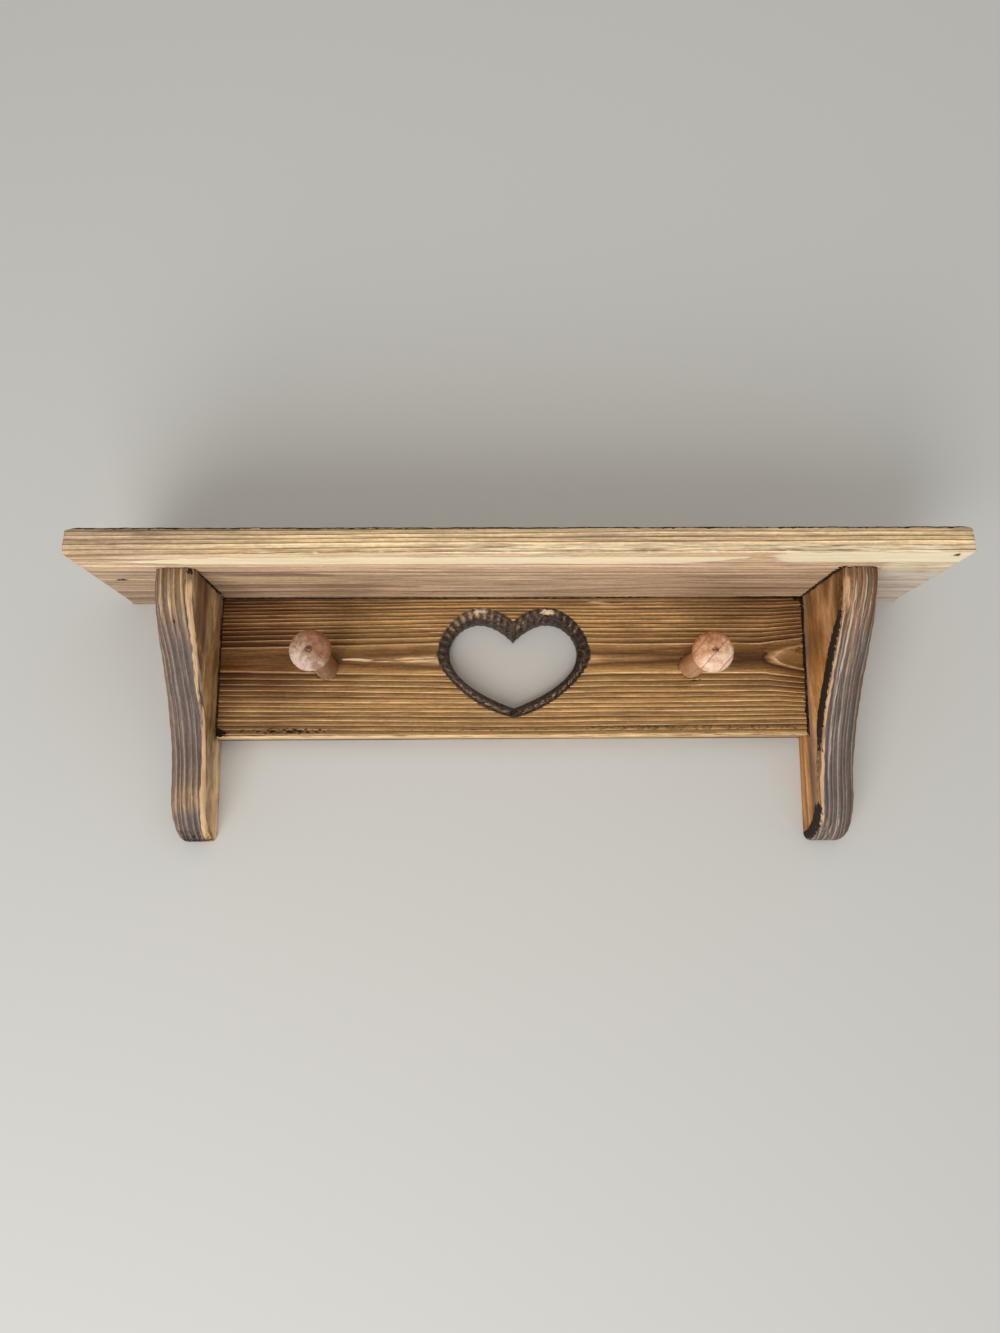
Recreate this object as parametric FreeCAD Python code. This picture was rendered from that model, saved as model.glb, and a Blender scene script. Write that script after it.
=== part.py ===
"""Small wall shelf of brushed and scorched pine: a shelf board on two shaped brackets, and between them
a back panel that carries two turned pegs and has a heart cut-out with a carved bevel.

Millimetres, +Z up. X runs along the shelf, +Y points into the wall, and the object faces -Y.
The origin lies on the wall plane, midway between the entry holes of the two keyhole plates.
"""
import FreeCAD, Part
import math
import os

from FreeCAD import Vector

# Shelf board
shelf_length = 500.0
shelf_depth = 116.0
shelf_thickness = 15.5
shelf_top_round = 3.0
shelf_edge_round = 1.2

# Back panel, which fills the space between the brackets
panel_height = 90.0
panel_thickness = 15.5
panel_edge_round = 1.0

# Brackets. The shelf reaches past their outer faces. Sawn by hand, the two differ a little in place, in
# length and in how far their toes reach.
left_overhang = 40.8
right_overhang = 42.5
left_bracket_thickness = 21.2
right_bracket_thickness = 21.5
left_bracket_height = 153.5
right_bracket_height = 155.3
bracket_top_depth = 87.6
bracket_nose_drop = 4.5
left_toe_radius = 34.0
right_toe_radius = 28.0
bracket_arris_round = 4.0
upper_pull_share = 0.20
lower_pull_share = 0.41

# Heart cut-out: its hole, and the wider outline of the bevel on the panel's face
heart_width = 82.5
heart_height = 55.2
heart_drop = 15.4
heart_offset = -2.2
bevel_outline_width = 95.6
bevel_outline_height = 69.3
bevel_outline_drop = 7.5
bevel_depth = 8.5

# Pegs, turned: insets from the brackets' inner faces, then radii and distances from the panel's face
left_peg_inset = 67.3
right_peg_inset = 75.3
peg_drop = 45.5
peg_reach = 68.0
peg_base_radius = 7.3
peg_neck_radius = 5.6
peg_head_radius = 12.1
peg_dome_height = 6.0
peg_head_back = 8.5
peg_base_collar = 2.5
peg_curve_pull_share = 0.6
peg_tenon_radius = 6.3
peg_tenon_length = 12.0
peg_centre_mark_radius = 1.9
peg_centre_mark_depth = 0.6

# Dowels
shelf_dowel_radius = 4.0
shelf_dowel_length = 30.0
shelf_dowel_in_shelf = 10.0
shelf_dowel_inset = 22.0
panel_dowel_radius = 3.0
panel_end_dowel_length = 28.0
panel_end_dowel_inset = 20.0
panel_top_dowel_length = 24.0
panel_top_dowel_in_shelf = 9.0
panel_top_dowel_spacing = 160.0
glue_gap = 0.05
hole_end_gap = 0.6

# Keyhole plates let into the back of the panel, their middles inset from the brackets' outer faces
left_hanger_inset = 54.2
right_hanger_inset = 52.5
hanger_drop = 26.0
plate_width = 16.0
plate_height = 40.0
plate_thickness = 1.5
plate_fit = 0.15
entry_radius = 4.5
slot_width = 4.6
slot_rise = 9.0
pocket_depth = 8.0
pocket_margin = 1.2
plate_screw_inset = 5.0
screw_radius = 1.5
screw_length = 11.0
screw_head_radius = 3.0
screw_head_height = 1.4
screw_clearance = 0.1
screw_drive_radius = 1.0
screw_drive_depth = 0.9

cut_overrun = 1.0

# Levels and faces that several pieces share
underside_z = hanger_drop
left_outer_x = left_overhang - shelf_length / 2
right_outer_x = shelf_length / 2 - right_overhang
panel_left_x = left_outer_x + left_bracket_thickness
panel_right_x = right_outer_x - right_bracket_thickness
panel_face_y = -panel_thickness
panel_bottom_z = underside_z - panel_height
panel_middle_y = panel_face_y / 2
peg_z = underside_z - peg_drop
peg_places = [
    ("left_peg", panel_left_x + left_peg_inset),
    ("right_peg", panel_right_x - right_peg_inset),
]
hanger_places = [
    ("left_hanger_plate", left_outer_x + left_hanger_inset),
    ("right_hanger_plate", right_outer_x - right_hanger_inset),
]
plate_screw_rise = plate_height / 2 - plate_screw_inset
plate_middle_z = slot_rise / 2

along_x = Vector(1, 0, 0)
into_wall = Vector(0, 1, 0)
towards_front = Vector(0, -1, 0)
up = Vector(0, 0, 1)

# The heart's right half: Bezier poles as shares of the half width and of the height, from the cleft, over the
# lobe, round the widest point and down to the tip
hole_shares = [
    (0.0, 0.217), (0.552, -0.226), (1.0, 0.110), (1.0, 0.353),
    (1.0, 0.667), (0.410, 0.891), (0.0, 1.0),
]
bevel_shares = [
    (0.0, 0.135), (0.525, -0.204), (1.0, 0.179), (1.0, 0.431),
    (1.0, 0.595), (0.495, 0.937), (0.0, 1.0),
]


def save(node, shape):
    """Writes one sub-part and prints its volume and the lengths of its box."""
    shape.exportStep("parts/" + node + ".step")
    box = shape.BoundBox
    lengths = [round(length, 1) for length in (box.XLength, box.YLength, box.ZLength)]
    print(node, len(shape.Solids), "solids, valid", shape.isValid(), "volume", round(shape.Volume), lengths)


def board(x_low, x_high, y_low, y_high, z_low, z_high):
    """A squared board between the given faces."""
    corner = Vector(x_low, y_low, z_low)
    return Part.makeBox(x_high - x_low, y_high - y_low, z_high - z_low, corner)


def near(value, target):
    """True where two coordinates are the same but for rounding."""
    return abs(value - target) < 1e-6 * shelf_length


def on_wall(edge):
    """True for an edge that lies on the wall plane: those stay square."""
    return all(near(vertex.Point.y, 0) for vertex in edge.Vertexes)


def free_edges(shape, test):
    """The edges whose every vertex passes the test, apart from those on the wall plane."""
    chosen = [edge for edge in shape.Edges if all(test(vertex.Point) for vertex in edge.Vertexes)]
    return [edge for edge in chosen if not on_wall(edge)]


def bezier(*poles):
    """An edge along the Bezier curve of the given poles."""
    curve = Part.BezierCurve()
    curve.setPoles(list(poles))
    return curve.toShape()


def rod(start, direction, radius, length):
    """A plain round rod."""
    return Part.makeCylinder(radius, length, start, direction)


def heart_wire(width, top_drop, height, share_rows, y):
    """One heart outline in a plane of constant y, as two Bezier arcs on each side."""
    def pole(side, row):
        across_share, down_share = row
        x = heart_offset + side * across_share * width / 2
        return Vector(x, y, underside_z - top_drop - down_share * height)

    right = [pole(1, row) for row in share_rows]
    left = [pole(-1, row) for row in share_rows]
    edges = [
        bezier(*right[:4]),
        bezier(*right[3:]),
        bezier(*reversed(left[3:])),
        bezier(*reversed(left[:4])),
    ]
    return Part.Wire(edges)


def heart_cutter():
    """The through hole together with its flared front."""
    hole = heart_wire(heart_width, heart_drop, heart_height, hole_shares, panel_face_y + bevel_depth)
    outline = heart_wire(
        bevel_outline_width, bevel_outline_drop, bevel_outline_height, bevel_shares, panel_face_y
    )
    through = Part.Face(hole).extrude(into_wall * (panel_thickness + cut_overrun))
    flare = Part.makeLoft([outline, hole], True, True)
    in_front = Part.Face(outline).extrude(towards_front * cut_overrun)
    return [through, flare, in_front]


def shelf_dowel_rods(oversize, end_gap):
    """The four dowels between the brackets and the shelf, or with gaps the holes that take them."""
    rods = []
    left_middle = left_outer_x + left_bracket_thickness / 2
    right_middle = right_outer_x - right_bracket_thickness / 2
    bottom = underside_z + shelf_dowel_in_shelf - shelf_dowel_length - end_gap
    length = shelf_dowel_length + 2 * end_gap
    for x in (left_middle, right_middle):
        for y in (-shelf_dowel_inset, shelf_dowel_inset - bracket_top_depth):
            rods.append(rod(Vector(x, y, bottom), up, shelf_dowel_radius + oversize, length))
    return rods


def panel_end_dowel_rods(oversize, end_gap):
    """The four level dowels between the panel's ends and the brackets, or with gaps their holes."""
    rods = []
    length = panel_end_dowel_length + 2 * end_gap
    for joint_x in (panel_left_x, panel_right_x):
        for z in (underside_z - panel_end_dowel_inset, panel_bottom_z + panel_end_dowel_inset):
            start = Vector(joint_x - length / 2, panel_middle_y, z)
            rods.append(rod(start, along_x, panel_dowel_radius + oversize, length))
    return rods


def panel_top_dowel_rods(oversize, end_gap):
    """The two upright dowels between the panel's top edge and the shelf, or with gaps their holes."""
    bottom = underside_z + panel_top_dowel_in_shelf - panel_top_dowel_length - end_gap
    length = panel_top_dowel_length + 2 * end_gap
    rods = []
    for side in (-1, 1):
        start = Vector(side * panel_top_dowel_spacing / 2, panel_middle_y, bottom)
        rods.append(rod(start, up, panel_dowel_radius + oversize, length))
    return rods


def keyhole(depth, margin, start_y):
    """Both keyholes, widened by a margin: entry circle and slot, from start_y to a depth."""
    solids = []
    for _, x in hanger_places:
        entry = rod(Vector(x, start_y, 0), towards_front, entry_radius + margin, depth)
        half = slot_width / 2 + margin
        slot = board(x - half, x + half, start_y - depth, start_y, 0, slot_rise)
        slot_end = rod(Vector(x, start_y, slot_rise), towards_front, half, depth)
        solids.append(entry.fuse([slot, slot_end]).removeSplitter())
    return solids


def plate_box(x, gap):
    """The plate's block, or with a gap the recess that takes it."""
    half_width = plate_width / 2 + gap
    half_height = plate_height / 2 + gap
    low = plate_middle_z - half_height
    high = plate_middle_z + half_height
    return board(x - half_width, x + half_width, -plate_thickness, 0, low, high)


def plate_screw_places(x):
    """Where the two screws of a plate go through its outer face."""
    return [Vector(x, 0, plate_middle_z + side * plate_screw_rise) for side in (-1, 1)]


def screw(place, margin):
    """A countersunk screw driven from the back, or with a margin the room for it."""
    head_radius = screw_head_radius + margin
    shank_radius = screw_radius + margin
    head = Part.makeCone(head_radius, shank_radius, screw_head_height, place, towards_front)
    shank = rod(place, towards_front, shank_radius, screw_length + margin)
    return head.fuse(shank).removeSplitter()


def shelf_board():
    """The shelf, with a rounded top arris, slightly eased lower edges and the holes for its dowels."""
    half = shelf_length / 2
    top_z = underside_z + shelf_thickness
    shape = board(-half, half, -shelf_depth, 0, underside_z, top_z)
    shape = shape.makeFillet(shelf_top_round, free_edges(shape, lambda p: near(p.z, top_z)))
    shape = shape.makeFillet(shelf_edge_round, free_edges(shape, lambda p: near(p.z, underside_z)))
    holes = shelf_dowel_rods(glue_gap, hole_end_gap) + panel_top_dowel_rods(glue_gap, hole_end_gap)
    return shape.cut(holes)


def back_panel():
    """The panel with its heart, peg bores, dowel holes and the recesses for the keyhole plates."""
    shape = board(panel_left_x, panel_right_x, panel_face_y, 0, panel_bottom_z, underside_z)
    front_bottom = free_edges(shape, lambda p: near(p.y, panel_face_y) and near(p.z, panel_bottom_z))
    shape = shape.makeFillet(panel_edge_round, front_bottom)
    cutters = heart_cutter()
    for _, x in peg_places:
        bore_start = Vector(x, panel_face_y - cut_overrun, peg_z)
        bore_length = peg_tenon_length + hole_end_gap + cut_overrun
        cutters.append(rod(bore_start, into_wall, peg_tenon_radius + glue_gap, bore_length))
    cutters += panel_end_dowel_rods(glue_gap, hole_end_gap)
    cutters += panel_top_dowel_rods(glue_gap, hole_end_gap)
    cutters += keyhole(pocket_depth, pocket_margin, 0)
    for _, x in hanger_places:
        cutters.append(plate_box(x, plate_fit))
        cutters += [screw(place, 0) for place in plate_screw_places(x)]
    return shape.cut(cutters)


def bracket_outline(x, height, toe_radius):
    """The side outline in a plane of constant x: nose, hollow front and a quarter-round toe."""
    def point(depth, drop):
        return Vector(x, -depth, underside_z - drop)

    toe_drop = height - toe_radius
    curve_height = toe_drop - bracket_nose_drop
    toe_share = math.sqrt(1 / 2)
    top_back = point(0, 0)
    top_front = point(bracket_top_depth, 0)
    nose = point(bracket_top_depth, bracket_nose_drop)
    nose_pull = point(bracket_top_depth, bracket_nose_drop + upper_pull_share * curve_height)
    toe_pull = point(toe_radius, toe_drop - lower_pull_share * curve_height)
    toe = point(toe_radius, toe_drop)
    toe_middle = point(toe_share * toe_radius, toe_drop + toe_share * toe_radius)
    bottom_back = point(0, height)
    return Part.Wire([
        Part.LineSegment(top_back, top_front).toShape(),
        Part.LineSegment(top_front, nose).toShape(),
        bezier(nose, nose_pull, toe_pull, toe),
        Part.Arc(toe, toe_middle, bottom_back).toShape(),
        Part.LineSegment(bottom_back, top_back).toShape(),
    ])


def bracket(x_low, thickness, height, toe_radius):
    """One bracket, with the arrises of its shaped front rounded over on both sides."""
    shape = Part.Face(bracket_outline(x_low, height, toe_radius)).extrude(along_x * thickness)

    def on_shaped_arris(edge):
        xs = [vertex.Point.x for vertex in edge.Vertexes]
        middle = edge.valueAt((edge.FirstParameter + edge.LastParameter) / 2)
        return near(xs[0], xs[-1]) and not near(middle.y, 0) and not near(middle.z, underside_z)

    shape = shape.makeFillet(bracket_arris_round, [edge for edge in shape.Edges if on_shaped_arris(edge)])
    holes = shelf_dowel_rods(glue_gap, hole_end_gap) + panel_end_dowel_rods(glue_gap, hole_end_gap)
    return shape.cut(holes)


def peg(x):
    """A turned peg: tenon, base collar, slim neck and mushroom head with the lathe's centre mark."""
    head_reach = peg_reach - peg_dome_height
    flare_reach = head_reach - peg_head_back
    neck_pull = peg_curve_pull_share * (flare_reach - peg_base_collar)
    flare_pull = peg_curve_pull_share * peg_head_back
    dome_pull = peg_curve_pull_share * peg_dome_height
    tip_pull_radius = peg_curve_pull_share * peg_head_radius

    def point(radius, reach):
        return Vector(x + radius, panel_face_y - reach, peg_z)

    def line(start, end):
        return Part.LineSegment(start, end).toShape()

    tenon_end = point(0, -peg_tenon_length)
    tenon_rim = point(peg_tenon_radius, -peg_tenon_length)
    shoulder_inside = point(peg_tenon_radius, 0)
    shoulder = point(peg_base_radius, 0)
    collar = point(peg_base_radius, peg_base_collar)
    neck = point(peg_neck_radius, flare_reach)
    rim = point(peg_head_radius, head_reach)
    tip = point(0, peg_reach)
    outline = [
        line(tenon_end, tenon_rim),
        line(tenon_rim, shoulder_inside),
        line(shoulder_inside, shoulder),
        line(shoulder, collar),
        bezier(
            collar,
            point(peg_base_radius, peg_base_collar + neck_pull),
            point(peg_neck_radius, flare_reach - neck_pull),
            neck,
        ),
        bezier(
            neck,
            point(peg_neck_radius, flare_reach + flare_pull),
            point(peg_head_radius, head_reach - flare_pull),
            rim,
        ),
        bezier(rim, point(peg_head_radius, head_reach + dome_pull), point(tip_pull_radius, peg_reach), tip),
        line(tip, tenon_end),
    ]
    body = Part.Face(Part.Wire(outline)).revolve(Vector(x, 0, peg_z), into_wall, 360)
    mark_start = Vector(x, panel_face_y - peg_reach - cut_overrun, peg_z)
    mark = rod(mark_start, into_wall, peg_centre_mark_radius, peg_centre_mark_depth + cut_overrun)
    return body.cut(mark)


def hanger_plate(x):
    """A steel keyhole plate: a round entry for the wall screw's head, a slot above it and two screw holes."""
    openings = keyhole(plate_thickness + 2 * cut_overrun, 0, cut_overrun)
    openings += [screw(place, screw_clearance) for place in plate_screw_places(x)]
    return plate_box(x, 0).cut(openings)


def driven_screw(place):
    """The screw with the recess for its driver."""
    start = place + into_wall * cut_overrun
    recess = rod(start, towards_front, screw_drive_radius, screw_drive_depth + cut_overrun)
    return screw(place, 0).cut(recess)


def hanger_screws():
    """The four screws that hold the two plates."""
    places = [place for _, x in hanger_places for place in plate_screw_places(x)]
    return Part.makeCompound([driven_screw(place) for place in places])


os.makedirs("parts", exist_ok=True)
save("shelf_board", shelf_board())
save("back_panel", back_panel())
left_shape = bracket(left_outer_x, left_bracket_thickness, left_bracket_height, left_toe_radius)
right_shape = bracket(panel_right_x, right_bracket_thickness, right_bracket_height, right_toe_radius)
save("left_bracket", left_shape)
save("right_bracket", right_shape)
for name, peg_x in peg_places:
    save(name, peg(peg_x))
save("shelf_dowels", Part.makeCompound(shelf_dowel_rods(0, 0)))
save("panel_end_dowels", Part.makeCompound(panel_end_dowel_rods(0, 0)))
save("panel_top_dowels", Part.makeCompound(panel_top_dowel_rods(0, 0)))
for name, plate_x in hanger_places:
    save(name, hanger_plate(plate_x))
save("hanger_screws", hanger_screws())
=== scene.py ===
# %% [markdown]
# # A small wall shelf with two coat pegs
#
# The object is a rustic shelf: a pine board on two shaped brackets, with a panel between them that
# carries two turned pegs and has a heart cut out of it. The boards were scorched with a torch and
# brushed, which burns the soft part of each growth ring away and leaves the hard part as a pale ridge.
#
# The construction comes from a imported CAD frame, so every piece here goes where that frame says. What
# this file adds is the look: worn edges, growth rings, the gouge cuts round the heart, soot and the
# finish of each wood.

# %% Load the frame
import math

import bpy
import numpy as np
from mathutils import Matrix, Vector


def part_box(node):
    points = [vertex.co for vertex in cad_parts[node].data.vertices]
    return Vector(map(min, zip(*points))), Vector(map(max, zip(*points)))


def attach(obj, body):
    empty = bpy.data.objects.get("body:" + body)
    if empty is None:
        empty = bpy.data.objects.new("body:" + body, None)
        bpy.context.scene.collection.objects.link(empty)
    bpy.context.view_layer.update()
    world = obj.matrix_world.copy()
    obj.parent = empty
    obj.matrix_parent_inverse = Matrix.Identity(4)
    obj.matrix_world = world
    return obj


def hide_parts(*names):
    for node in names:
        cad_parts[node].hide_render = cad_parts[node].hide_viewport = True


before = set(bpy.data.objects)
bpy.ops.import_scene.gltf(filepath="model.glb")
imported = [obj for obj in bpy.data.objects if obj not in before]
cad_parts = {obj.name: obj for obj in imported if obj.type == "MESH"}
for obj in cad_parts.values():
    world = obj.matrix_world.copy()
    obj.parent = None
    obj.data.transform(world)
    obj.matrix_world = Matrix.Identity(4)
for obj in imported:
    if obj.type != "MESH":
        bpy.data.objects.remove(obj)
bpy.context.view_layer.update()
MM = 0.001
boxes = {name: [np.array(corner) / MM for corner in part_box(name)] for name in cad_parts}
for name, (low, high) in boxes.items():
    print(name, np.round(low, 1), np.round(high, 1))

# %% [markdown]
# ## The camera
#
# The picture was taken with a phone held a little below the shelf's middle and tilted up by ten degrees.
# Its lens sees as far to each side as a 26 mm lens on a full-frame camera. Blender measures a lens
# against the longer side of the picture when the sensor fit is automatic, so the focal length is worked
# out from the picture's 1000 by 1333.

# %% Place the camera
picture_height = 1333
focal_pixels = 1000
camera_at = Vector((-21.7, -641.5, -129.7)) * MM
camera_tilt = math.radians(10.03)
camera_pan = math.radians(-0.98)
camera_roll = math.radians(0.41)

camera_data = bpy.data.cameras.new("photo_camera")
camera_data.sensor_width = 36.0
camera_data.lens = camera_data.sensor_width * focal_pixels / picture_height
camera = bpy.data.objects.new("photo_camera", camera_data)
bpy.context.scene.collection.objects.link(camera)
level = Matrix.Rotation(math.radians(90), 4, "X")
turn = Matrix.Rotation(camera_pan, 4, "Z") @ Matrix.Rotation(camera_tilt, 4, "X")
camera.matrix_world = Matrix.Translation(camera_at) @ turn @ Matrix.Rotation(camera_roll, 4, "Y") @ level
bpy.context.scene.camera = camera
print("lens", round(camera_data.lens, 2), "mm")

# %% [markdown]
# ## Helpers
#
# Colours are written as sRGB hex values, as a colour picker shows them, and one function turns them into
# the linear values that a shader needs. Another adds any node, sets it and links it, and gives back its
# first live output.

# %% Colour and node helpers
def linear(hex_colour):
    """The linear RGBA of an sRGB hex colour."""
    channels = [int(hex_colour[i:i + 2], 16) / 255 for i in (1, 3, 5)]
    return [c / 12.92 if c <= 0.04045 else ((c + 0.055) / 1.055) ** 2.4 for c in channels] + [1.0]


def add(tree, kind, inputs=(), stops=(), **settings):
    """Adds a node and gives back its first live output.

    inputs holds values or other nodes' outputs, as a list in the sockets' order or as a dict by their
    names. stops fills a colour ramp: pairs of a place from 0 to 1 and a hex colour.
    """
    node = tree.nodes.new(kind)
    for name, value in settings.items():
        setattr(node, name, value)
    live = [socket for socket in node.inputs if socket.enabled]
    if isinstance(inputs, dict):
        live = [next(socket for socket in live if socket.name == name) for name in inputs]
        inputs = inputs.values()
    for socket, value in zip(live, inputs):
        if isinstance(value, bpy.types.NodeSocket):
            tree.links.new(value, socket)
        else:
            socket.default_value = value
    if stops:
        elements = node.color_ramp.elements
        while len(elements) < len(stops):
            elements.new(1.0)
        for element, (place, hex_colour) in zip(elements, stops):
            element.position = place
            element.color = linear(hex_colour)
    return next((socket for socket in node.outputs if socket.enabled), None)


# %% [markdown]
# ## Meshes from arrays
#
# Each board is a closed mesh with points close enough to carry the brushed relief as real geometry. A
# board starts as a box whose six faces are grids with shared edges. Its lines crowd together near the
# edges, where the arrises are rounded over.

# %% Mesh helpers
def make_piece(name, points, faces, attributes=None, edges=()):
    """A mesh object in the scene from points in millimetres, with float attributes on its points."""
    mesh = bpy.data.meshes.new(name)
    mesh.from_pydata((np.asarray(points) * MM).tolist(), list(edges), faces)
    mesh.update()
    for key, values in (attributes or {}).items():
        layer = mesh.attributes.new(key, "FLOAT", "POINT")
        layer.data.foreach_set("value", np.asarray(values, dtype=np.float32))
    piece = bpy.data.objects.new(name, mesh)
    bpy.context.scene.collection.objects.link(piece)
    return piece


def point_array(piece):
    """The points of a piece, in millimetres."""
    flat = np.empty(len(piece.data.vertices) * 3, dtype=np.float32)
    piece.data.vertices.foreach_get("co", flat)
    return flat.reshape(-1, 3).astype(float) / MM


def grid_lines(low, high, step, edge):
    """Places along one side of a board: crowded within edge of both ends, and about step apart between."""
    crowded = [edge * share for share in (0.0, 0.25, 0.5, 0.75)]
    count = max(2, round((high - low - 2 * edge) / step) + 1)
    middle = np.linspace(low + edge, high - edge, count)
    return np.concatenate([[low + c for c in crowded], middle, [high - c for c in reversed(crowded)]])


def box_shell(xs, ys, zs):
    """Points and outward faces of a box whose six faces are grids with shared edges."""
    sizes = (len(xs), len(ys), len(zs))
    number = {}
    points = []

    def corner(*ijk):
        if ijk not in number:
            number[ijk] = len(points)
            points.append((xs[ijk[0]], ys[ijk[1]], zs[ijk[2]]))
        return number[ijk]

    faces = []
    for axis in range(3):
        a, b = (axis + 1) % 3, (axis + 2) % 3
        for end in (0, sizes[axis] - 1):
            for i in range(sizes[a] - 1):
                for j in range(sizes[b] - 1):
                    loop = []
                    for di, dj in ((0, 0), (1, 0), (1, 1), (0, 1)):
                        ijk = [0, 0, 0]
                        ijk[axis], ijk[a], ijk[b] = end, i + di, j + dj
                        loop.append(corner(*ijk))
                    faces.append(loop if end else loop[::-1])
    return np.array(points), faces


# %% Shaping helpers
def smooth(value, start, end):
    """0 before start, 1 after end and a smooth rise between."""
    t = np.clip((np.asarray(value, dtype=float) - start) / (end - start), 0.0, 1.0)
    return t * t * (3 - 2 * t)


def waves(value, lengths, seed):
    """A smooth uneven curve between about -1 and 1: sines of the given wavelengths, with seeded phases."""
    phases = np.random.default_rng(seed).uniform(0, 2 * math.pi, len(lengths))
    turns = [2 * math.pi * np.asarray(value) / length for length in lengths]
    return sum(np.sin(turn + phase) for turn, phase in zip(turns, phases)) / len(lengths)


def round_over(points, low, high, radius):
    """Rounds a box's arrises: radius holds each point's own rounding."""
    reach = np.asarray(radius)[:, None]
    inner = np.clip(points, low + reach, high - reach)
    out = points - inner
    length = np.linalg.norm(out, axis=1, keepdims=True)
    return np.where(length > 0, inner + out / np.maximum(length, 1e-9) * reach, points)


def shave(points, through, normal):
    """Flattens what sticks out past a plane, as a knock or a sander does to a corner."""
    normal = np.array(normal) / np.linalg.norm(normal)
    past = np.maximum((points - np.array(through)) @ normal, 0.0)
    return points - past[:, None] * normal


# %% [markdown]
# ## Growth rings
#
# A board is cut from a trunk, so its grain is one solid pattern: rings round the pith, which show as
# lines on one face, as pointed arches on another and as arcs on the end. A flat stripe texture can't join
# up round an edge, so the rings are worked out in space, as the distance from a pith line that leans and
# wanders a little. Each knot pushes the rings aside, by an amount that falls off evenly, which leaves the
# pointed figure of a flat-sawn board. The same nodes run in a shader, where they colour the wood, and in
# Geometry Nodes, where they raise the ridges, because both have the same noise.

# %% Growth rings as nodes
class Wood:
    """How a board lies in its trunk, in millimetres."""

    def __init__(self, axes, pith, lean, spacing, wander, uneven, knots=(), shift=0.0, skew=0.0, broad=""):
        self.axes = axes          # the grain's axis, then the two across it
        self.pith = pith          # where the pith passes, on the two axes across the grain
        self.lean = lean          # how far the pith moves across for each millimetre along
        self.spacing = spacing    # from one ring to the next
        self.wander = wander      # how far the rings stray: (amount, length along, length across)
        self.uneven = uneven      # how much ring widths differ, in rings
        self.knots = knots        # (place, reach, push) of each knot
        self.shift = shift        # moves every ring line, in rings
        self.skew = skew          # share by which the rings tighten for each millimetre across the first axis
        self.broad = broad        # the axis along which the rings lie flat, where fibres are drawn out too


def ring_count(tree, place, wood):
    """Nodes that count the growth rings from the pith to a place."""
    amount, length_along, length_across = wood.wander
    stretch = [1 / (length_across * MM)] * 3
    stretch["XYZ".index(wood.axes[0])] = 1 / (length_along * MM)
    stretched = add(tree, "ShaderNodeVectorMath", [place, stretch], operation="MULTIPLY")
    noise = add(
        tree, "ShaderNodeTexNoise", {"Vector": stretched, "Scale": 1.0, "Detail": 2.5, "Roughness": 0.45}
    )
    stray = add(tree, "ShaderNodeSeparateXYZ", [noise.node.outputs["Color"]]).node.outputs
    parts = add(tree, "ShaderNodeSeparateXYZ", [place]).node.outputs
    along = parts[wood.axes[0]]
    across = []
    for axis, pith, tilt, drift in zip(wood.axes[1:], wood.pith, wood.lean, stray):
        leaning = add(tree, "ShaderNodeMath", [along, -tilt, parts[axis]], operation="MULTIPLY_ADD")
        centred = add(tree, "ShaderNodeMath", [leaning, -pith * MM], operation="ADD")
        straying = [drift, 2 * amount * MM, centred]
        across.append(add(tree, "ShaderNodeMath", straying, operation="MULTIPLY_ADD"))
    pair = add(tree, "ShaderNodeCombineXYZ", across)
    radius = add(tree, "ShaderNodeVectorMath", [pair], operation="LENGTH")
    for centre, reach, push in wood.knots:
        gap = add(tree, "ShaderNodeVectorMath", [place, [c * MM for c in centre]], operation="DISTANCE")
        pushed = add(tree, "ShaderNodeMapRange", [gap, 0.0, reach * MM, push * MM, 0.0])
        radius = add(tree, "ShaderNodeMath", [radius, pushed], operation="ADD")
    tightening = add(tree, "ShaderNodeMath", [across[0], wood.skew / MM, 1.0], operation="MULTIPLY_ADD")
    radius = add(tree, "ShaderNodeMath", [radius, tightening], operation="MULTIPLY")
    spaced = [radius, 1 / (wood.spacing * MM), wood.shift]
    rings = add(tree, "ShaderNodeMath", spaced, operation="MULTIPLY_ADD")
    width_noise = add(
        tree, "ShaderNodeTexNoise", {"W": rings, "Scale": 0.55, "Detail": 1.0}, noise_dimensions="1D"
    )
    uneven = [width_noise, 2 * wood.uneven, rings]
    return add(tree, "ShaderNodeMath", uneven, operation="MULTIPLY_ADD")


# %% [markdown]
# ## Brushed relief
#
# The wire brush leaves each ring's hard line about a fifth of a millimetre proud. A bump map would fake
# that, but its shadow lines vanish at a grazing view and it is lost when the mesh is printed. So Geometry
# Nodes move the points along their normals by a ridge profile over the same ring count.

# %% Geometry Nodes helpers
raw_wood = bpy.data.materials.new("raw_wood")


def new_tree(name, **sockets):
    """A Geometry Nodes tree with the named inputs besides Geometry and Material, and what it is given."""
    tree = bpy.data.node_groups.new(name, "GeometryNodeTree")
    kinds = {"Geometry": "NodeSocketGeometry", **sockets, "Material": "NodeSocketMaterial"}
    for socket_name, kind in kinds.items():
        tree.interface.new_socket(socket_name, in_out="INPUT", socket_type=kind)
    tree.interface.new_socket("Geometry", in_out="OUTPUT", socket_type="NodeSocketGeometry")
    return tree, tree.nodes.new("NodeGroupInput").outputs


def end_tree(tree, geometry, given):
    """Ends a Geometry Nodes tree: real geometry, with the material that the modifier names."""
    real = add(tree, "GeometryNodeRealizeInstances", [geometry])
    finished = add(tree, "GeometryNodeSetMaterial", {"Geometry": real, "Material": given["Material"]})
    add(tree, "NodeGroupOutput", [finished])


def move_out(tree, distance, given):
    """Ends a tree that moves a piece's points along their normals."""
    normal = add(tree, "GeometryNodeInputNormal")
    offset = add(tree, "ShaderNodeVectorMath", [normal, distance], operation="SCALE")
    moved = add(tree, "GeometryNodeSetPosition", {"Geometry": given["Geometry"], "Offset": offset})
    end_tree(tree, moved, given)


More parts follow.
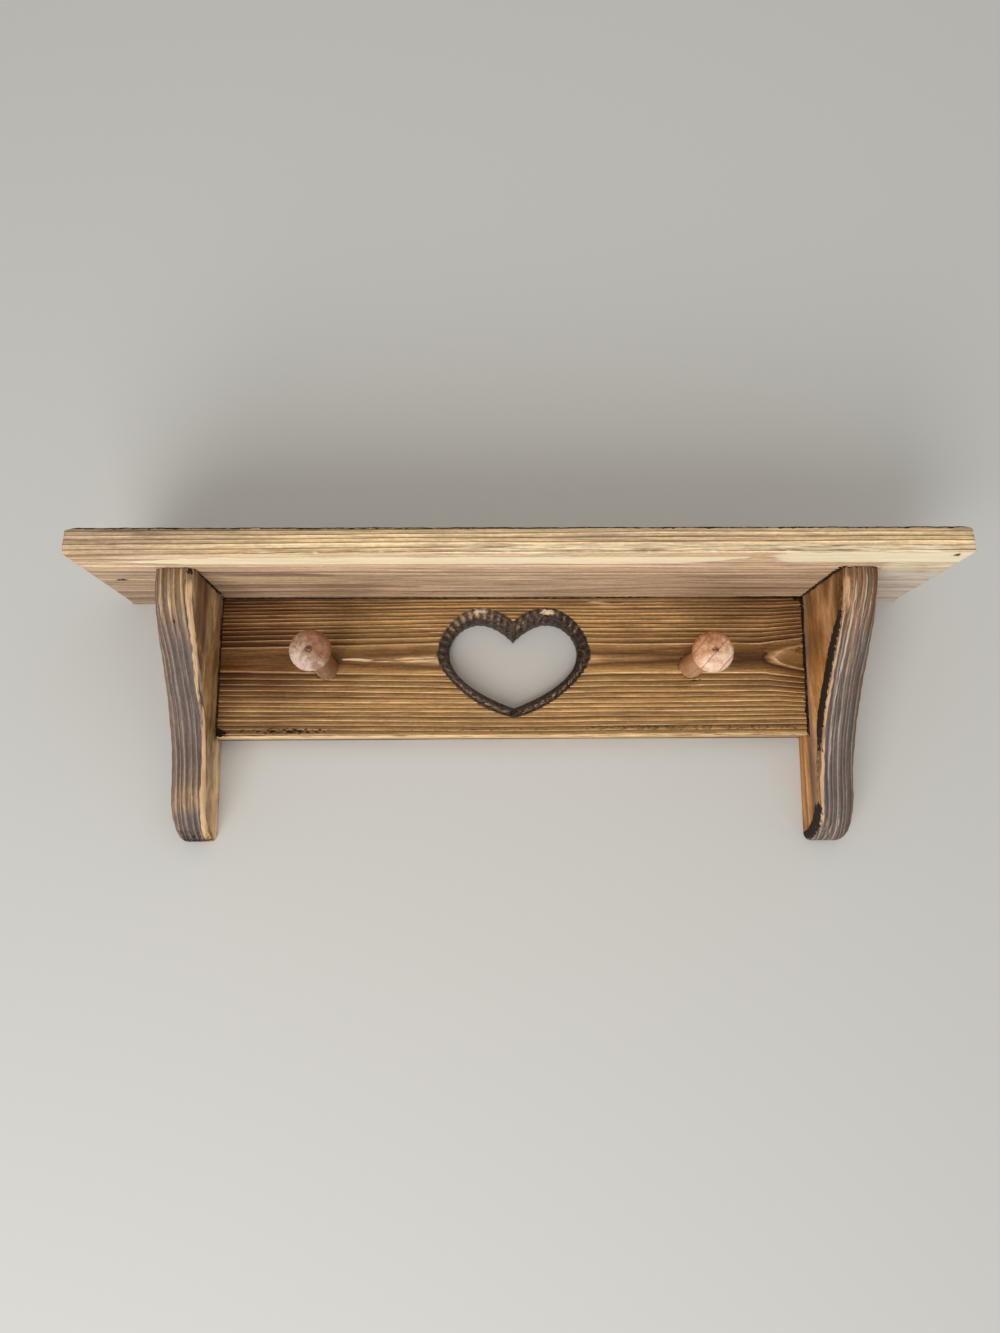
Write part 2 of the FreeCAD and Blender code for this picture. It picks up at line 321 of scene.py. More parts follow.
def keep_evaluated(piece):
    """Replaces a piece's mesh by what its modifiers make of it, and removes them."""
    evaluated = piece.evaluated_get(bpy.context.evaluated_depsgraph_get())
    made = bpy.data.meshes.new_from_object(evaluated)
    made.name = piece.name
    piece.modifiers.clear()
    piece.data = made


def apply_nodes(piece, tree, values):
    """Runs a Geometry Nodes tree on a piece with its named inputs set, and keeps the result as its mesh."""
    modifier = piece.modifiers.new(tree.name, "NODES")
    modifier.node_group = tree
    values = {"Material": raw_wood, **values}
    for item in tree.interface.items_tree:
        if item.in_out == "INPUT" and item.name in values:
            modifier[item.identifier] = values[item.name]
    keep_evaluated(piece)


# %% Raise the ridges
def brush_relief(piece, wood, depth, fall_share=0.3, climb_from=0.85):
    """Sinks a board's points between its ring lines by up to depth, in millimetres."""
    tree, given = new_tree("brushed_relief", Depth="NodeSocketFloat")
    place = add(tree, "GeometryNodeInputPosition")
    phase = add(tree, "ShaderNodeMath", [ring_count(tree, place, wood)], operation="FRACT")
    slopes = [
        add(tree, "ShaderNodeMapRange", [phase, *slope], interpolation_type="SMOOTHSTEP")
        for slope in ((0.0, fall_share, 1.0, 0.0), (climb_from, 1.0, 0.0, 1.0))
    ]
    profile = add(tree, "ShaderNodeMath", slopes, operation="MAXIMUM")
    worn = add(tree, "ShaderNodeMath", [profile, 1.0], operation="SUBTRACT")
    sink = add(tree, "ShaderNodeMath", [worn, given["Depth"]], operation="MULTIPLY")
    move_out(tree, sink, given)
    apply_nodes(piece, tree, {"Depth": depth * MM})
    print(piece.name, "relief", depth, "mm")


# %% [markdown]
# ## The shelf board
#
# The shelf is a planed pine board with a hand-rounded top arris. Its two front corners are knocked off,
# which shows against the pale background, so they are cut as facets and not only painted. The brushing is
# light here, because its front edge was scorched and sanded back to honey.

# %% Shelf board
shelf_low, shelf_high = boxes["shelf_board"]
shelf_wood = Wood("XZY", (-4.0, -108.0), (0.004, 0.006), 2.6, (1.2, 190.0, 14.0), 0.4, shift=0.2)


def build_shelf():
    """The shelf board with rounded arrises and worn corners."""
    edge = 3.2
    xs = grid_lines(shelf_low[0], shelf_high[0], 2.4, edge)
    ys = grid_lines(shelf_low[1], shelf_high[1], 1.6, edge)
    zs = grid_lines(shelf_low[2], shelf_high[2], 0.5, edge)
    points, faces = box_shell(xs, ys, zs)
    x, y, z = points.T
    upper = smooth(z, shelf_low[2] + 5, shelf_high[2] - 4)
    front = 1 - smooth(y, shelf_low[1] + 4, shelf_low[1] + 14)
    end = smooth(x, shelf_high[0] - 14, shelf_high[0] - 4)
    back = smooth(y, shelf_high[1] - 8, shelf_high[1] - 2)
    uneven = 1 + 0.35 * waves(x, (61, 23, 9), 3) + 0.15 * waves(y, (31, 11), 4)
    radius = (1.0 + 1.3 * upper * np.maximum(front, end)) * uneven * (1 - 0.8 * back)
    points = round_over(points, shelf_low, shelf_high, np.clip(radius, 0.15, edge))
    left, right, top, nose = shelf_low[0], shelf_high[0], shelf_high[2], shelf_low[1]
    knocks = [
        ((left + 8.5, nose, top), (-0.26, -0.2, 1.0)),
        ((right - 5.6, nose, top), (0.4, -0.25, 1.0)),
        ((right - 0.9, nose, top - 2.6), (1.0, -0.3, 0.3)),
        ((right - 1.5, nose, shelf_low[2]), (0.6, -0.5, -1.0)),
    ]
    for through, normal in knocks:
        points = shave(points, through, normal)
    return make_piece("shelf", points, faces)


shelf = build_shelf()
brush_relief(shelf, shelf_wood, 0.16)
print("shelf triangles", 2 * len(shelf.data.polygons))

# %% [markdown]
# ## The back panel and its heart
#
# The heart was sawn out and its rim was then cut back to a bevel with a gouge, stroke beside stroke, and
# charred. The cut-out is the negative of a plug: a closed solid whose side is the sawn wall, the bevel
# and some overrun at both faces. Geometry Nodes press the gouge strokes into the plug's bevel, evenly
# along the rim, and a Boolean takes the plug away from the board. Both outlines are two Bezier arcs to a
# side, as in the CAD frame.

# %% Heart outlines
panel_low, panel_high = boxes["back_panel"]
heart_middle_x = -2.2
underside = shelf_low[2]
hole_width, hole_top, hole_height = 82.5, 15.4, 55.2
rim_width, rim_top, rim_height = 95.6, 7.5, 69.3
hole_shares = [
    (0.0, 0.217), (0.552, -0.226), (1.0, 0.110), (1.0, 0.353),
    (1.0, 0.667), (0.410, 0.891), (0.0, 1.0),
]
rim_shares = [
    (0.0, 0.135), (0.525, -0.204), (1.0, 0.179), (1.0, 0.431),
    (1.0, 0.595), (0.495, 0.937), (0.0, 1.0),
]
steps_per_arc = 110
bevel_depth = 8.5


def heart_outline(width, top, height, shares):
    """A closed outline as x and z, clockwise from the cleft as seen from the front."""
    poles = np.array([(share[0] * width / 2, underside - top - share[1] * height) for share in shares])
    t = np.linspace(0, 1, steps_per_arc, endpoint=False)[:, None]

    def arc(p):
        return (1 - t) ** 3 * p[0] + 3 * (1 - t) ** 2 * t * p[1] + 3 * (1 - t) * t ** 2 * p[2] + t ** 3 * p[3]

    right = np.concatenate([arc(poles[:4]), arc(poles[3:])])
    left = np.concatenate([arc(poles[:2:-1]), arc(poles[3::-1])]) * (-1, 1)
    return np.concatenate([right, left]) + (heart_middle_x, 0)


hole_outline = heart_outline(hole_width, hole_top, hole_height, hole_shares)
rim_outline = heart_outline(rim_width, rim_top, rim_height, rim_shares)
rim_steps = np.linalg.norm(np.roll(rim_outline, -1, axis=0) - rim_outline, axis=1)
rim_along = np.concatenate([[0.0], np.cumsum(rim_steps)[:-1]])
print("rim length", round(rim_steps.sum()), "mm")

# %% The plug and its gouge strokes
stroke_count = 50
stroke_pitch = rim_steps.sum() / stroke_count


def skin(rings, turned=False):
    """Points and faces of a closed solid over rings of equally many points, one after the other."""
    around = len(rings[0])
    faces = []
    for row in range(len(rings) - 1):
        for k in range(around):
            a, b = row * around + k, row * around + (k + 1) % around
            faces.append((a, a + around, b + around, b) if turned else (a, b, b + around, a + around))
    first = list(range(around))
    last = [(len(rings) - 1) * around + k for k in range(around)]
    faces += [first, last[::-1]] if turned else [first[::-1], last]
    return np.concatenate(rings), faces


def heart_plug():
    """The closed plug: rows of the outline from behind the panel to in front of it."""
    front_y, back_y = panel_low[1], panel_high[1]
    rows = [(0.0, back_y + 2), (0.0, back_y - 1), (0.0, back_y - 3), (0.0, back_y - 5)]
    rows += [(share, front_y + bevel_depth * (1 - share)) for share in np.linspace(0, 1, 18)]
    rows.append((1.25, front_y - 0.25 * bevel_depth))
    rings = []
    along = []
    strength = []
    gouged = 0.35 + 0.65 * smooth(rim_outline[:, 1], -22, 2)
    for share, y in rows:
        outline = hole_outline + share * (rim_outline - hole_outline)
        rings.append([(x, y, z) for x, z in outline])
        along += list(rim_along / stroke_pitch - 0.35 * share)
        strength += list(gouged * math.sin(math.pi * np.clip(share * 0.9 + 0.06, 0, 1)) ** 0.7)
    points, faces = skin(rings, turned=True)
    return make_piece("heart_plug", points, faces, {"stroke": along, "strength": strength})


def gouge_strokes(plug, depth):
    """Swells the plug by one scoop for each gouge stroke, along the named attribute that counts them."""
    tree, given = new_tree("gouge_strokes", Depth="NodeSocketFloat", Seed="NodeSocketInt")
    stroke = add(tree, "GeometryNodeInputNamedAttribute", {"Name": "stroke"}, data_type="FLOAT")
    strength = add(tree, "GeometryNodeInputNamedAttribute", {"Name": "strength"}, data_type="FLOAT")
    number = add(tree, "ShaderNodeMath", [stroke], operation="FLOOR")
    whole = add(tree, "FunctionNodeFloatToInt", [number])
    limits = {"Min": 0.55, "Max": 1.15, "ID": whole, "Seed": given["Seed"]}
    chance = add(tree, "FunctionNodeRandomValue", limits, data_type="FLOAT")
    phase = add(tree, "ShaderNodeMath", [stroke], operation="FRACT")
    turned = add(tree, "ShaderNodeMath", [phase, math.pi], operation="MULTIPLY")
    scoop = add(tree, "ShaderNodeMath", [turned], operation="SINE")
    cut = add(tree, "ShaderNodeMath", [scoop, 0.75], operation="POWER")
    for factor in (chance, strength, given["Depth"]):
        cut = add(tree, "ShaderNodeMath", [cut, factor], operation="MULTIPLY")
    move_out(tree, cut, given)
    apply_nodes(plug, tree, {"Depth": depth * MM, "Seed": 7})


# %% [markdown]
# ## Out of true
#
# The shelf was glued up by eye. What hangs below the board leans a little to the left, and the brackets
# aren't parallel, so their inner faces and the panel's ends turn with depth. The CAD frame is square, so
# its joints stay true. Here the points of the panel and the brackets are pushed sideways by a smooth
# amount, and both ends of a joint move alike.

# %% Tilt and turn
lean_per_mm = 0.0105
depth_stations = (0.0, 15.5, 88.0)
left_out = (0.0, -0.3, 2.0)
right_out = (-3.2, -1.2, 0.4)


def off_square(y, shifts):
    """How far a bracket's inner face is out of true: shifts hold for the wall, the panel and the nose."""
    return np.interp(-np.asarray(y, dtype=float), depth_stations, shifts)


def tilt_shift(z):
    """How far the lean moves a height sideways."""
    return lean_per_mm * np.minimum(z - boxes["shelf_board"][0][2], 0.0)


def lean(points):
    """Sets what hangs below the shelf askew: tilted, and turned at both ends."""
    x, y, z = points.T
    shift = tilt_shift(z)
    shift += smooth(x, -207.0, -191.0) * (1 - smooth(x, -184.0, -150.0)) * off_square(y, left_out)
    shift += smooth(x, 150.0, 184.0) * (1 - smooth(x, 190.0, 206.0)) * off_square(y, right_out)
    return points + np.outer(shift, (1.0, 0.0, 0.0))


# %% Cutters
def cut_away(piece, cutter):
    """Takes a closed cutter away from a piece, and deletes the cutter."""
    modifier = piece.modifiers.new("cut", "BOOLEAN")
    modifier.operation = "DIFFERENCE"
    modifier.solver = "MANIFOLD"
    modifier.object = cutter
    keep_evaluated(piece)
    bpy.data.objects.remove(cutter)


def prism(name, outlines, y_front, y_back):
    """Closed prisms along Y over outlines in x and z that run counter-clockwise as seen from the front."""
    points = []
    faces = []
    for outline in outlines:
        solid, sides = skin([[(x, y, z) for x, z in outline] for y in (y_front, y_back)], turned=True)
        faces += [[len(points) + k for k in side] for side in sides]
        points += list(solid)
    return make_piece(name, points, faces)


def circle(middle_x, middle_z, radius, first=0.0, last=2 * math.pi, count=48):
    """Points on an arc, counter-clockwise as seen from the front."""
    angles = np.linspace(first, last, count, endpoint=last - first < 2 * math.pi)
    return [(middle_x + radius * math.cos(a), middle_z + radius * math.sin(a)) for a in angles]


def keyhole_outline(middle_x, entry_radius=5.7, slot_half=3.5, slot_rise=9.0):
    """The pocket behind a keyhole plate: a round entry and a slot that rises from it."""
    meet = math.acos(slot_half / entry_radius)
    entry = circle(middle_x, 0.0, entry_radius, math.pi - meet, 2 * math.pi + meet)
    slot = circle(middle_x, slot_rise, slot_half, 0.0, math.pi, 20)
    return entry + slot


# %% Back panel
panel_wood = Wood(
    "XZY", (-12.6, 5.8), (0.0, 0.0), 2.15, (0.7, 130.0, 13.0), 0.22,
    knots=[
        ((207.0, -15.5, -9.0), 51.4, -3.7), ((207.0, -15.5, -9.0), 150.0, -1.1),
        ((-8.0, -15.5, -13.0), 190.0, -1.7),
    ],
    shift=-0.14, skew=0.002,
)
peg_middles = [(low + high) / 2 for low, high in (boxes["left_peg"], boxes["right_peg"])]
plate_middles = [(low + high) / 2 for low, high in (boxes["left_hanger_plate"], boxes["right_hanger_plate"])]
bore_radius, bore_depth = 6.35, 12.6
plate_play = 0.15
pocket_depth = 8.0


def build_panel():
    """The panel: grained board, then heart, peg bores, plate recesses and keyhole pockets cut out of it."""
    edge = 1.4
    xs = grid_lines(panel_low[0], panel_high[0], 2.2, edge)
    ys = grid_lines(panel_low[1], panel_high[1], 2.0, edge)
    zs = grid_lines(panel_low[2], panel_high[2], 0.62, edge)
    points, faces = box_shell(xs, ys, zs)
    x, y, z = points.T
    lower = 1 - smooth(z, panel_low[2] + 2, panel_low[2] + 6)
    radius = (0.5 + 0.6 * lower) * (1 + 0.4 * waves(x, (47, 17, 7), 12))
    back = smooth(y, panel_high[1] - 5, panel_high[1] - 2)
    points = round_over(points, panel_low, panel_high, np.clip(radius * (1 - 0.8 * back), 0.1, edge))
    panel = make_piece("panel", lean(points), faces)
    brush_relief(panel, panel_wood, 0.22)
    plug = heart_plug()
    gouge_strokes(plug, 1.5)
    cut_away(panel, plug)
    bores = [circle(middle[0], middle[2], bore_radius) for middle in peg_middles]
    cut_away(panel, prism("bores", bores, panel_low[1] - 2, panel_low[1] + bore_depth))
    plate_low, plate_high = boxes["left_hanger_plate"]
    half = (plate_high - plate_low) / 2 + plate_play
    corners = ((-1, -1), (1, -1), (1, 1), (-1, 1))
    recesses = [
        [(middle[0] + i * half[0], middle[2] + j * half[2]) for i, j in corners] for middle in plate_middles
    ]
    cut_away(panel, prism("recesses", recesses, plate_low[1], panel_high[1] + 1))
    pockets = [keyhole_outline(middle[0]) for middle in plate_middles]
    cut_away(panel, prism("pockets", pockets, panel_high[1] - pocket_depth, panel_high[1] + 1))
    return panel


panel = build_panel()
print("panel polygons", len(panel.data.polygons))

# %% [markdown]
# ## The brackets
#
# Each bracket is a board on edge with its grain upright, sawn to a nose, a hollow and a round toe. Its
# surface is a set of loops: each loop runs round the bracket's thickness at one point of the front curve.
# Where a loop passes the front arrises it turns through an arc, so their rounding can change along the
# curve, as a hand plane leaves it. Two attributes, across and along, measure from the inner arris and
# down the curve, and the finish reads them.

# %% Bracket curve
nose_drop = 4.5
lower_pull_share = 0.41


def front_curve(box, toe_radius, upper_pull_share):
    """Points down a bracket's front edge as y and z, and the outward normal at each."""
    low, high = box
    top, bottom, front = high[2], low[2], low[1]
    toe_z = bottom + toe_radius
    nose_z = top - nose_drop
    drop = nose_z - toe_z
    p = np.array([
        (front, nose_z), (front, nose_z - upper_pull_share * drop),
        (-toe_radius, toe_z + lower_pull_share * drop), (-toe_radius, toe_z),
    ])
    t = np.linspace(0, 1, 110)[:, None]
    hollow = (1 - t) ** 3 * p[0] + 3 * (1 - t) ** 2 * t * p[1] + 3 * (1 - t) * t ** 2 * p[2] + t ** 3 * p[3]
    straight = [(front, z) for z in np.linspace(top, nose_z, 5, endpoint=False)]
    angles = np.linspace(0, math.pi / 2, 42)[1:]
    toe = [(-toe_radius * math.cos(a), toe_z - toe_radius * math.sin(a)) for a in angles]
    curve = np.concatenate([straight, hollow, toe])
    tangent = np.gradient(curve, axis=0)
    tangent /= np.linalg.norm(tangent, axis=1, keepdims=True)
    normal = np.stack([tangent[:, 1], -tangent[:, 0]], axis=1)
    normal[0] = (-1.0, 0.0)
    normal[-1] = (0.0, -1.0)
    steps = np.linalg.norm(np.diff(curve, axis=0), axis=1)
    return curve, normal, np.concatenate([[0.0], np.cumsum(steps)])


# %% Bracket skin
toe_length = 30.0
even_length = 15.0
inner_rounding = 3.7
outer_rounding = 3.4
side_count, arc_count, front_count, back_count = 40, 7, 34, 8


def bridge(first, last, count):
    """Points evenly between two others."""
    return list(np.linspace(first, last, count + 2)[1:-1])


def bracket_half(face_x, side, rounding, place, normal):
    """From the wall along one face and round its front arris, at one place down the curve."""
    inner_y, inner_z = place - normal * rounding
    half = [(face_x, share * inner_y, inner_z) for share in np.linspace(0, 1, side_count, endpoint=False)]
    for angle in np.linspace(0, math.pi / 2, arc_count):
        inset = rounding * (1 - math.cos(angle))
        reach_y, reach_z = normal * rounding * math.sin(angle)
        half.append((face_x + side * inset, inner_y + reach_y, inner_z + reach_z))
    return half


def build_bracket(name, box, inner_side, toe_radius, upper_pull_share, nose_wear, toe_wear, seed):
    """One bracket. inner_side is 1 where its inner face looks along +X, and -1 where it looks along -X."""
    low, high = box
    inner_x, outer_x = (high[0], low[0]) if inner_side > 0 else (low[0], high[0])
    curve, normals, along = front_curve(box, toe_radius, upper_pull_share)
    even_from = along[-1] - even_length
    rings = []
    across = []
    for place, normal, s in zip(curve, normals, along):
        at_nose = 1 - smooth(s, 10, 45)
        at_toe = smooth(s, even_from - toe_length, even_from)
        waved = min(s, even_from)
        inner_round = inner_rounding * (1 + 0.25 * waves(waved, (83, 31, 12), seed)) + nose_wear * at_nose
        outer_round = outer_rounding * (1 + 0.25 * waves(waved, (71, 27, 10), seed + 1)) + 1.5 * at_nose
        inner = bracket_half(inner_x, -inner_side, inner_round + toe_wear * at_toe, place, normal)
        outer = bracket_half(outer_x, inner_side, outer_round + toe_wear * at_toe, place, normal)[::-1]
        front = bridge(inner[-1], outer[0], front_count)
        back = bridge(outer[-1], inner[0], back_count)
        rings.append(np.array(inner + front + outer + back))
        steps = np.linalg.norm(np.diff(rings[-1], axis=0), axis=1)
        measured = np.concatenate([[0.0], np.cumsum(steps)])
        across.append(measured - measured[side_count + arc_count // 2])
    on_front = np.concatenate([
        np.zeros(side_count), np.linspace(0, 1, arc_count), np.ones(front_count),
        np.linspace(1, 0, arc_count), np.zeros(side_count + back_count),
    ])
    attributes = {
        "across": np.concatenate(across),
        "along": np.repeat(along, len(on_front)),
        "front": np.tile(on_front, len(rings)),
    }
    print(name, "thickness", round(high[0] - low[0], 1), "rows", len(rings), "around", len(on_front))
    points, faces = skin(rings, turned=inner_side < 0)
    return make_piece(name, lean(points), faces, attributes)


# %% Both brackets
left_low, left_high = boxes["left_bracket"]
right_low, right_high = boxes["right_bracket"]
left_wood = Wood("ZXY", (-520.0, -40.0), (0.0, 0.0), 3.3, (1.3, 80.0, 20.0), 0.6, shift=0.3, broad="Y")
right_wood = Wood("ZXY", (520.0, -45.0), (0.0, 0.0), 2.9, (1.2, 80.0, 20.0), 0.7, shift=0.6, broad="Y")
left_bracket = build_bracket(
    "bracket_left", boxes["left_bracket"], 1, toe_radius=34.0, upper_pull_share=0.28,
    nose_wear=0.6, toe_wear=0.3, seed=21,
)
right_bracket = build_bracket(
    "bracket_right", boxes["right_bracket"], -1, toe_radius=28.0, upper_pull_share=0.20,
    nose_wear=2.6, toe_wear=1.6, seed=31,
)
brush_relief(left_bracket, left_wood, 0.2)
brush_relief(right_bracket, right_wood, 0.2)

# %% [markdown]
# ## The pegs
#
# The pegs are bought-in turnings of plain beech. A lathe shape is one profile spun round an axis. It
# could be a spun mesh, but a curve says it more directly: a line of points along the axis, each with the
# radius of the profile there, is turned into a curve by Geometry Nodes and swept by a circle. The lathe's
# centre left a small pit in the head. Both pegs droop a little, as pegs do that were drilled by eye, so
# the line of points leans.

# %% Peg profile
face_y = panel_low[1]
peg_profile = [
    (-11.9, 6.2), (0.0, 6.2), (0.05, 7.3), (2.5, 7.3), (8.0, 7.25), (20.0, 6.95), (34.0, 6.35), (46.0, 5.8),
    (53.0, 5.75), (55.5, 6.5), (57.4, 8.2), (58.8, 10.1), (60.2, 11.5), (61.8, 12.05), (63.2, 11.9),
    (64.6, 11.2), (65.8, 9.9), (66.8, 8.0), (67.5, 5.6), (67.9, 3.4), (67.95, 2.1), (67.7, 1.7), (67.2, 0.9),
]


def peg_line(name, node, droop):
    """The peg's axis as a string of points, from the tenon's end to the head, with the radius at each."""
    middle = (boxes[node][0] + boxes[node][1]) / 2
    reach, radius = np.array(peg_profile).T
    steps = np.hypot(np.diff(reach), np.diff(radius))
    path = np.concatenate([[0.0], np.cumsum(steps)])
    fine = np.union1d(path, np.arange(0.0, path[-1], 1.0))
    reach, radius = np.interp(fine, path, reach), np.interp(fine, path, radius)
    points = [(middle[0], face_y - far, middle[2] - droop * max(far, 0.0)) for far in reach]
    edges = [(k, k + 1) for k in range(len(points) - 1)]
    return make_piece(name, points, [], {"turned_radius": radius * MM}, edges)


# %% Turn the pegs
def turn_peg(piece, sides=96):
    """Sweeps a circle along the peg's line at the radius that each point carries, and closes both ends."""
    tree, given = new_tree("turned_peg", Sides="NodeSocketInt")
    radius = add(tree, "GeometryNodeInputNamedAttribute", {"Name": "turned_radius"}, data_type="FLOAT")
    line = add(tree, "GeometryNodeMeshToCurve", {"Mesh": given["Geometry"]})
    sized = add(tree, "GeometryNodeSetCurveRadius", {"Curve": line, "Radius": radius})
    circle_line = add(
        tree, "GeometryNodeCurvePrimitiveCircle", {"Resolution": given["Sides"], "Radius": 1.0}
    )
    swept = add(
        tree, "GeometryNodeCurveToMesh",
        {"Curve": sized, "Profile Curve": circle_line, "Scale": radius, "Fill Caps": True},
    )
    merged = add(tree, "GeometryNodeMergeByDistance", {"Geometry": swept, "Distance": 0.001 * MM})
    end_tree(tree, merged, given)
    apply_nodes(piece, tree, {"Sides": sides})
    points = point_array(piece)
    print(piece.name, "from", np.round(points.min(axis=0), 1), "to", np.round(points.max(axis=0), 1))


peg_left = peg_line("peg_left", "left_peg", droop=0.01)
peg_right = peg_line("peg_right", "right_peg", droop=0.04)
turn_peg(peg_left)
turn_peg(peg_right)

# %% [markdown]
# ## Where the finish changes
#
# No two places on a hand-scorched board look alike: the brush wore the arrises pale, some stretches stayed
# golden, and painted shade darkens the joints. An artist would paint this on an image. Here the points of
# each mesh are dense enough to hold it, so it's painted on them as attributes, which a shader reads and an
# export keeps. Gold is how light the wood was left and smoke is how greyed it is; on the shelf's underside
# smoke also lays in painted shade. Singe darkens the wood under it and soot covers it, and both also carry
# painted contact shade in the joints and round the pegs' seats. Bare is where the finish is worn off, with
# a painted highlight on the shelf's front, and pale is a bleached or chipped spot.

# %% Painting helpers
def paint(piece, key, values):
    """Writes one value from 0 to 1 for each point of a piece."""
    shares = np.clip(values, 0, 1)
    layer = piece.data.attributes.new(key, "FLOAT", "POINT")
    layer.data.foreach_set("value", shares.astype(np.float32))
    print(piece.name, key, "mean", round(float(shares.mean()), 3))


def near(value, middle, reach):
    """1 at the middle, falling smoothly to 0 at reach to either side."""
    return 1 - smooth(np.abs(value - middle), 0.25 * reach, reach)


def between(value, low, high, soft):
    """1 from low to high, fading over soft on either side."""
    return smooth(value, low - soft, low + soft) * (1 - smooth(value, high - soft, high + soft))


def streak(x, z, start, end, half_width):
    """1 along a straight streak that runs mostly along x, narrowing to both ends."""
    (xa, za), (xb, zb) = start, end
    share = np.clip((x - xa) / (xb - xa), 0, 1)
    width = half_width * (0.35 + 0.65 * np.sin(math.pi * share))
    return near(z, za + share * (zb - za), 1.6 * width) * between(x, min(xa, xb), max(xa, xb), 2.0)


def strongest_streak(x, z, marks):
    """The strongest of several streaks, each given as its strength, start, end and half width."""
    return np.maximum.reduce([strength * streak(x, z, *shape) for strength, *shape in marks])


# %% [markdown]
# ## The scorched boards
#
# The wood is pine, flat-sawn, torched, brushed and then oiled or waxed. Its colour repeats over each
# ring: a pale hard ridge, a dark line burnt in beside it, and soft brown wood up to the next ridge. So
# each board has three colour ramps over a ring: for its dark stretches, for its golden ones and for those
# that smoke greyed. Fibres are noise drawn out along the grain. Real fibres are finer than the picture
# can show, so these are about a millimetre wide. The soot is matt and the waxed wood has a low sheen.

# %% Shader helpers
noise_low = 0.3
noise_high = 0.7
hair_width = 0.35


def new_material(name):
    """A material with its tree, its shader and the place on the piece in Object coordinates."""
    material = bpy.data.materials.new(name)
    material.use_nodes = True
    tree = material.node_tree
    shader = next(node for node in tree.nodes if node.type == "BSDF_PRINCIPLED")
    return material, tree, shader, add(tree, "ShaderNodeTexCoord").node.outputs["Object"]


def painted(tree, key):
    """The value that was painted on the mesh."""
    return add(tree, "ShaderNodeAttribute", attribute_name=key).node.outputs["Fac"]


def stretched_noise(tree, place, wood, along, across, detail, roughness=0.55):
    """Noise drawn out along a board's grain, with sizes in millimetres."""
    scale = [1 / (across * MM)] * 3
    scale["XYZ".index(wood.axes[0])] = 1 / (along * MM)
    if wood.broad:
        scale["XYZ".index(wood.broad)] = 2 / (along * MM)
    scaled = add(tree, "ShaderNodeVectorMath", [place, scale], operation="MULTIPLY")
    settings = {"Vector": scaled, "Scale": 1.0, "Detail": detail, "Roughness": roughness}
    return add(tree, "ShaderNodeTexNoise", settings)


def spread(tree, noise, low, high):
    """Noise, which seldom leaves the range from noise_low to noise_high, spread from low to high."""
    return add(tree, "ShaderNodeMapRange", [noise, noise_low, noise_high, low, high])


def ragged(tree, key, noise, amount, low=0.4, high=0.6):
    """A painted attribute whose edge is broken up by noise."""
    value = painted(tree, key)
    torn = add(tree, "ShaderNodeMath", [value, spread(tree, noise, -amount, amount)], operation="ADD")
    edge = add(
        tree, "ShaderNodeMapRange", [torn, low, high, 0.0, 1.0], interpolation_type="SMOOTHSTEP"
    )
    present = add(tree, "ShaderNodeMapRange", [value, 0.0, 0.1, 0.0, 1.0])
    return add(tree, "ShaderNodeMath", [edge, present], operation="MULTIPLY")


def hairlines(tree, place, wood, apart):
    """Thin uneven lines along the grain, where a drawn-out noise passes its middle value."""
    noise = stretched_noise(tree, place, wood, 90.0, 2.0 * apart, 1.5)
    off = add(tree, "ShaderNodeMath", [noise, 0.5], operation="SUBTRACT")
    off = add(tree, "ShaderNodeMath", [off], operation="ABSOLUTE")
    edge = [off, 0.0, 0.25 * hair_width / apart, 1.0, 0.0]
    return add(tree, "ShaderNodeMapRange", edge, interpolation_type="SMOOTHSTEP")


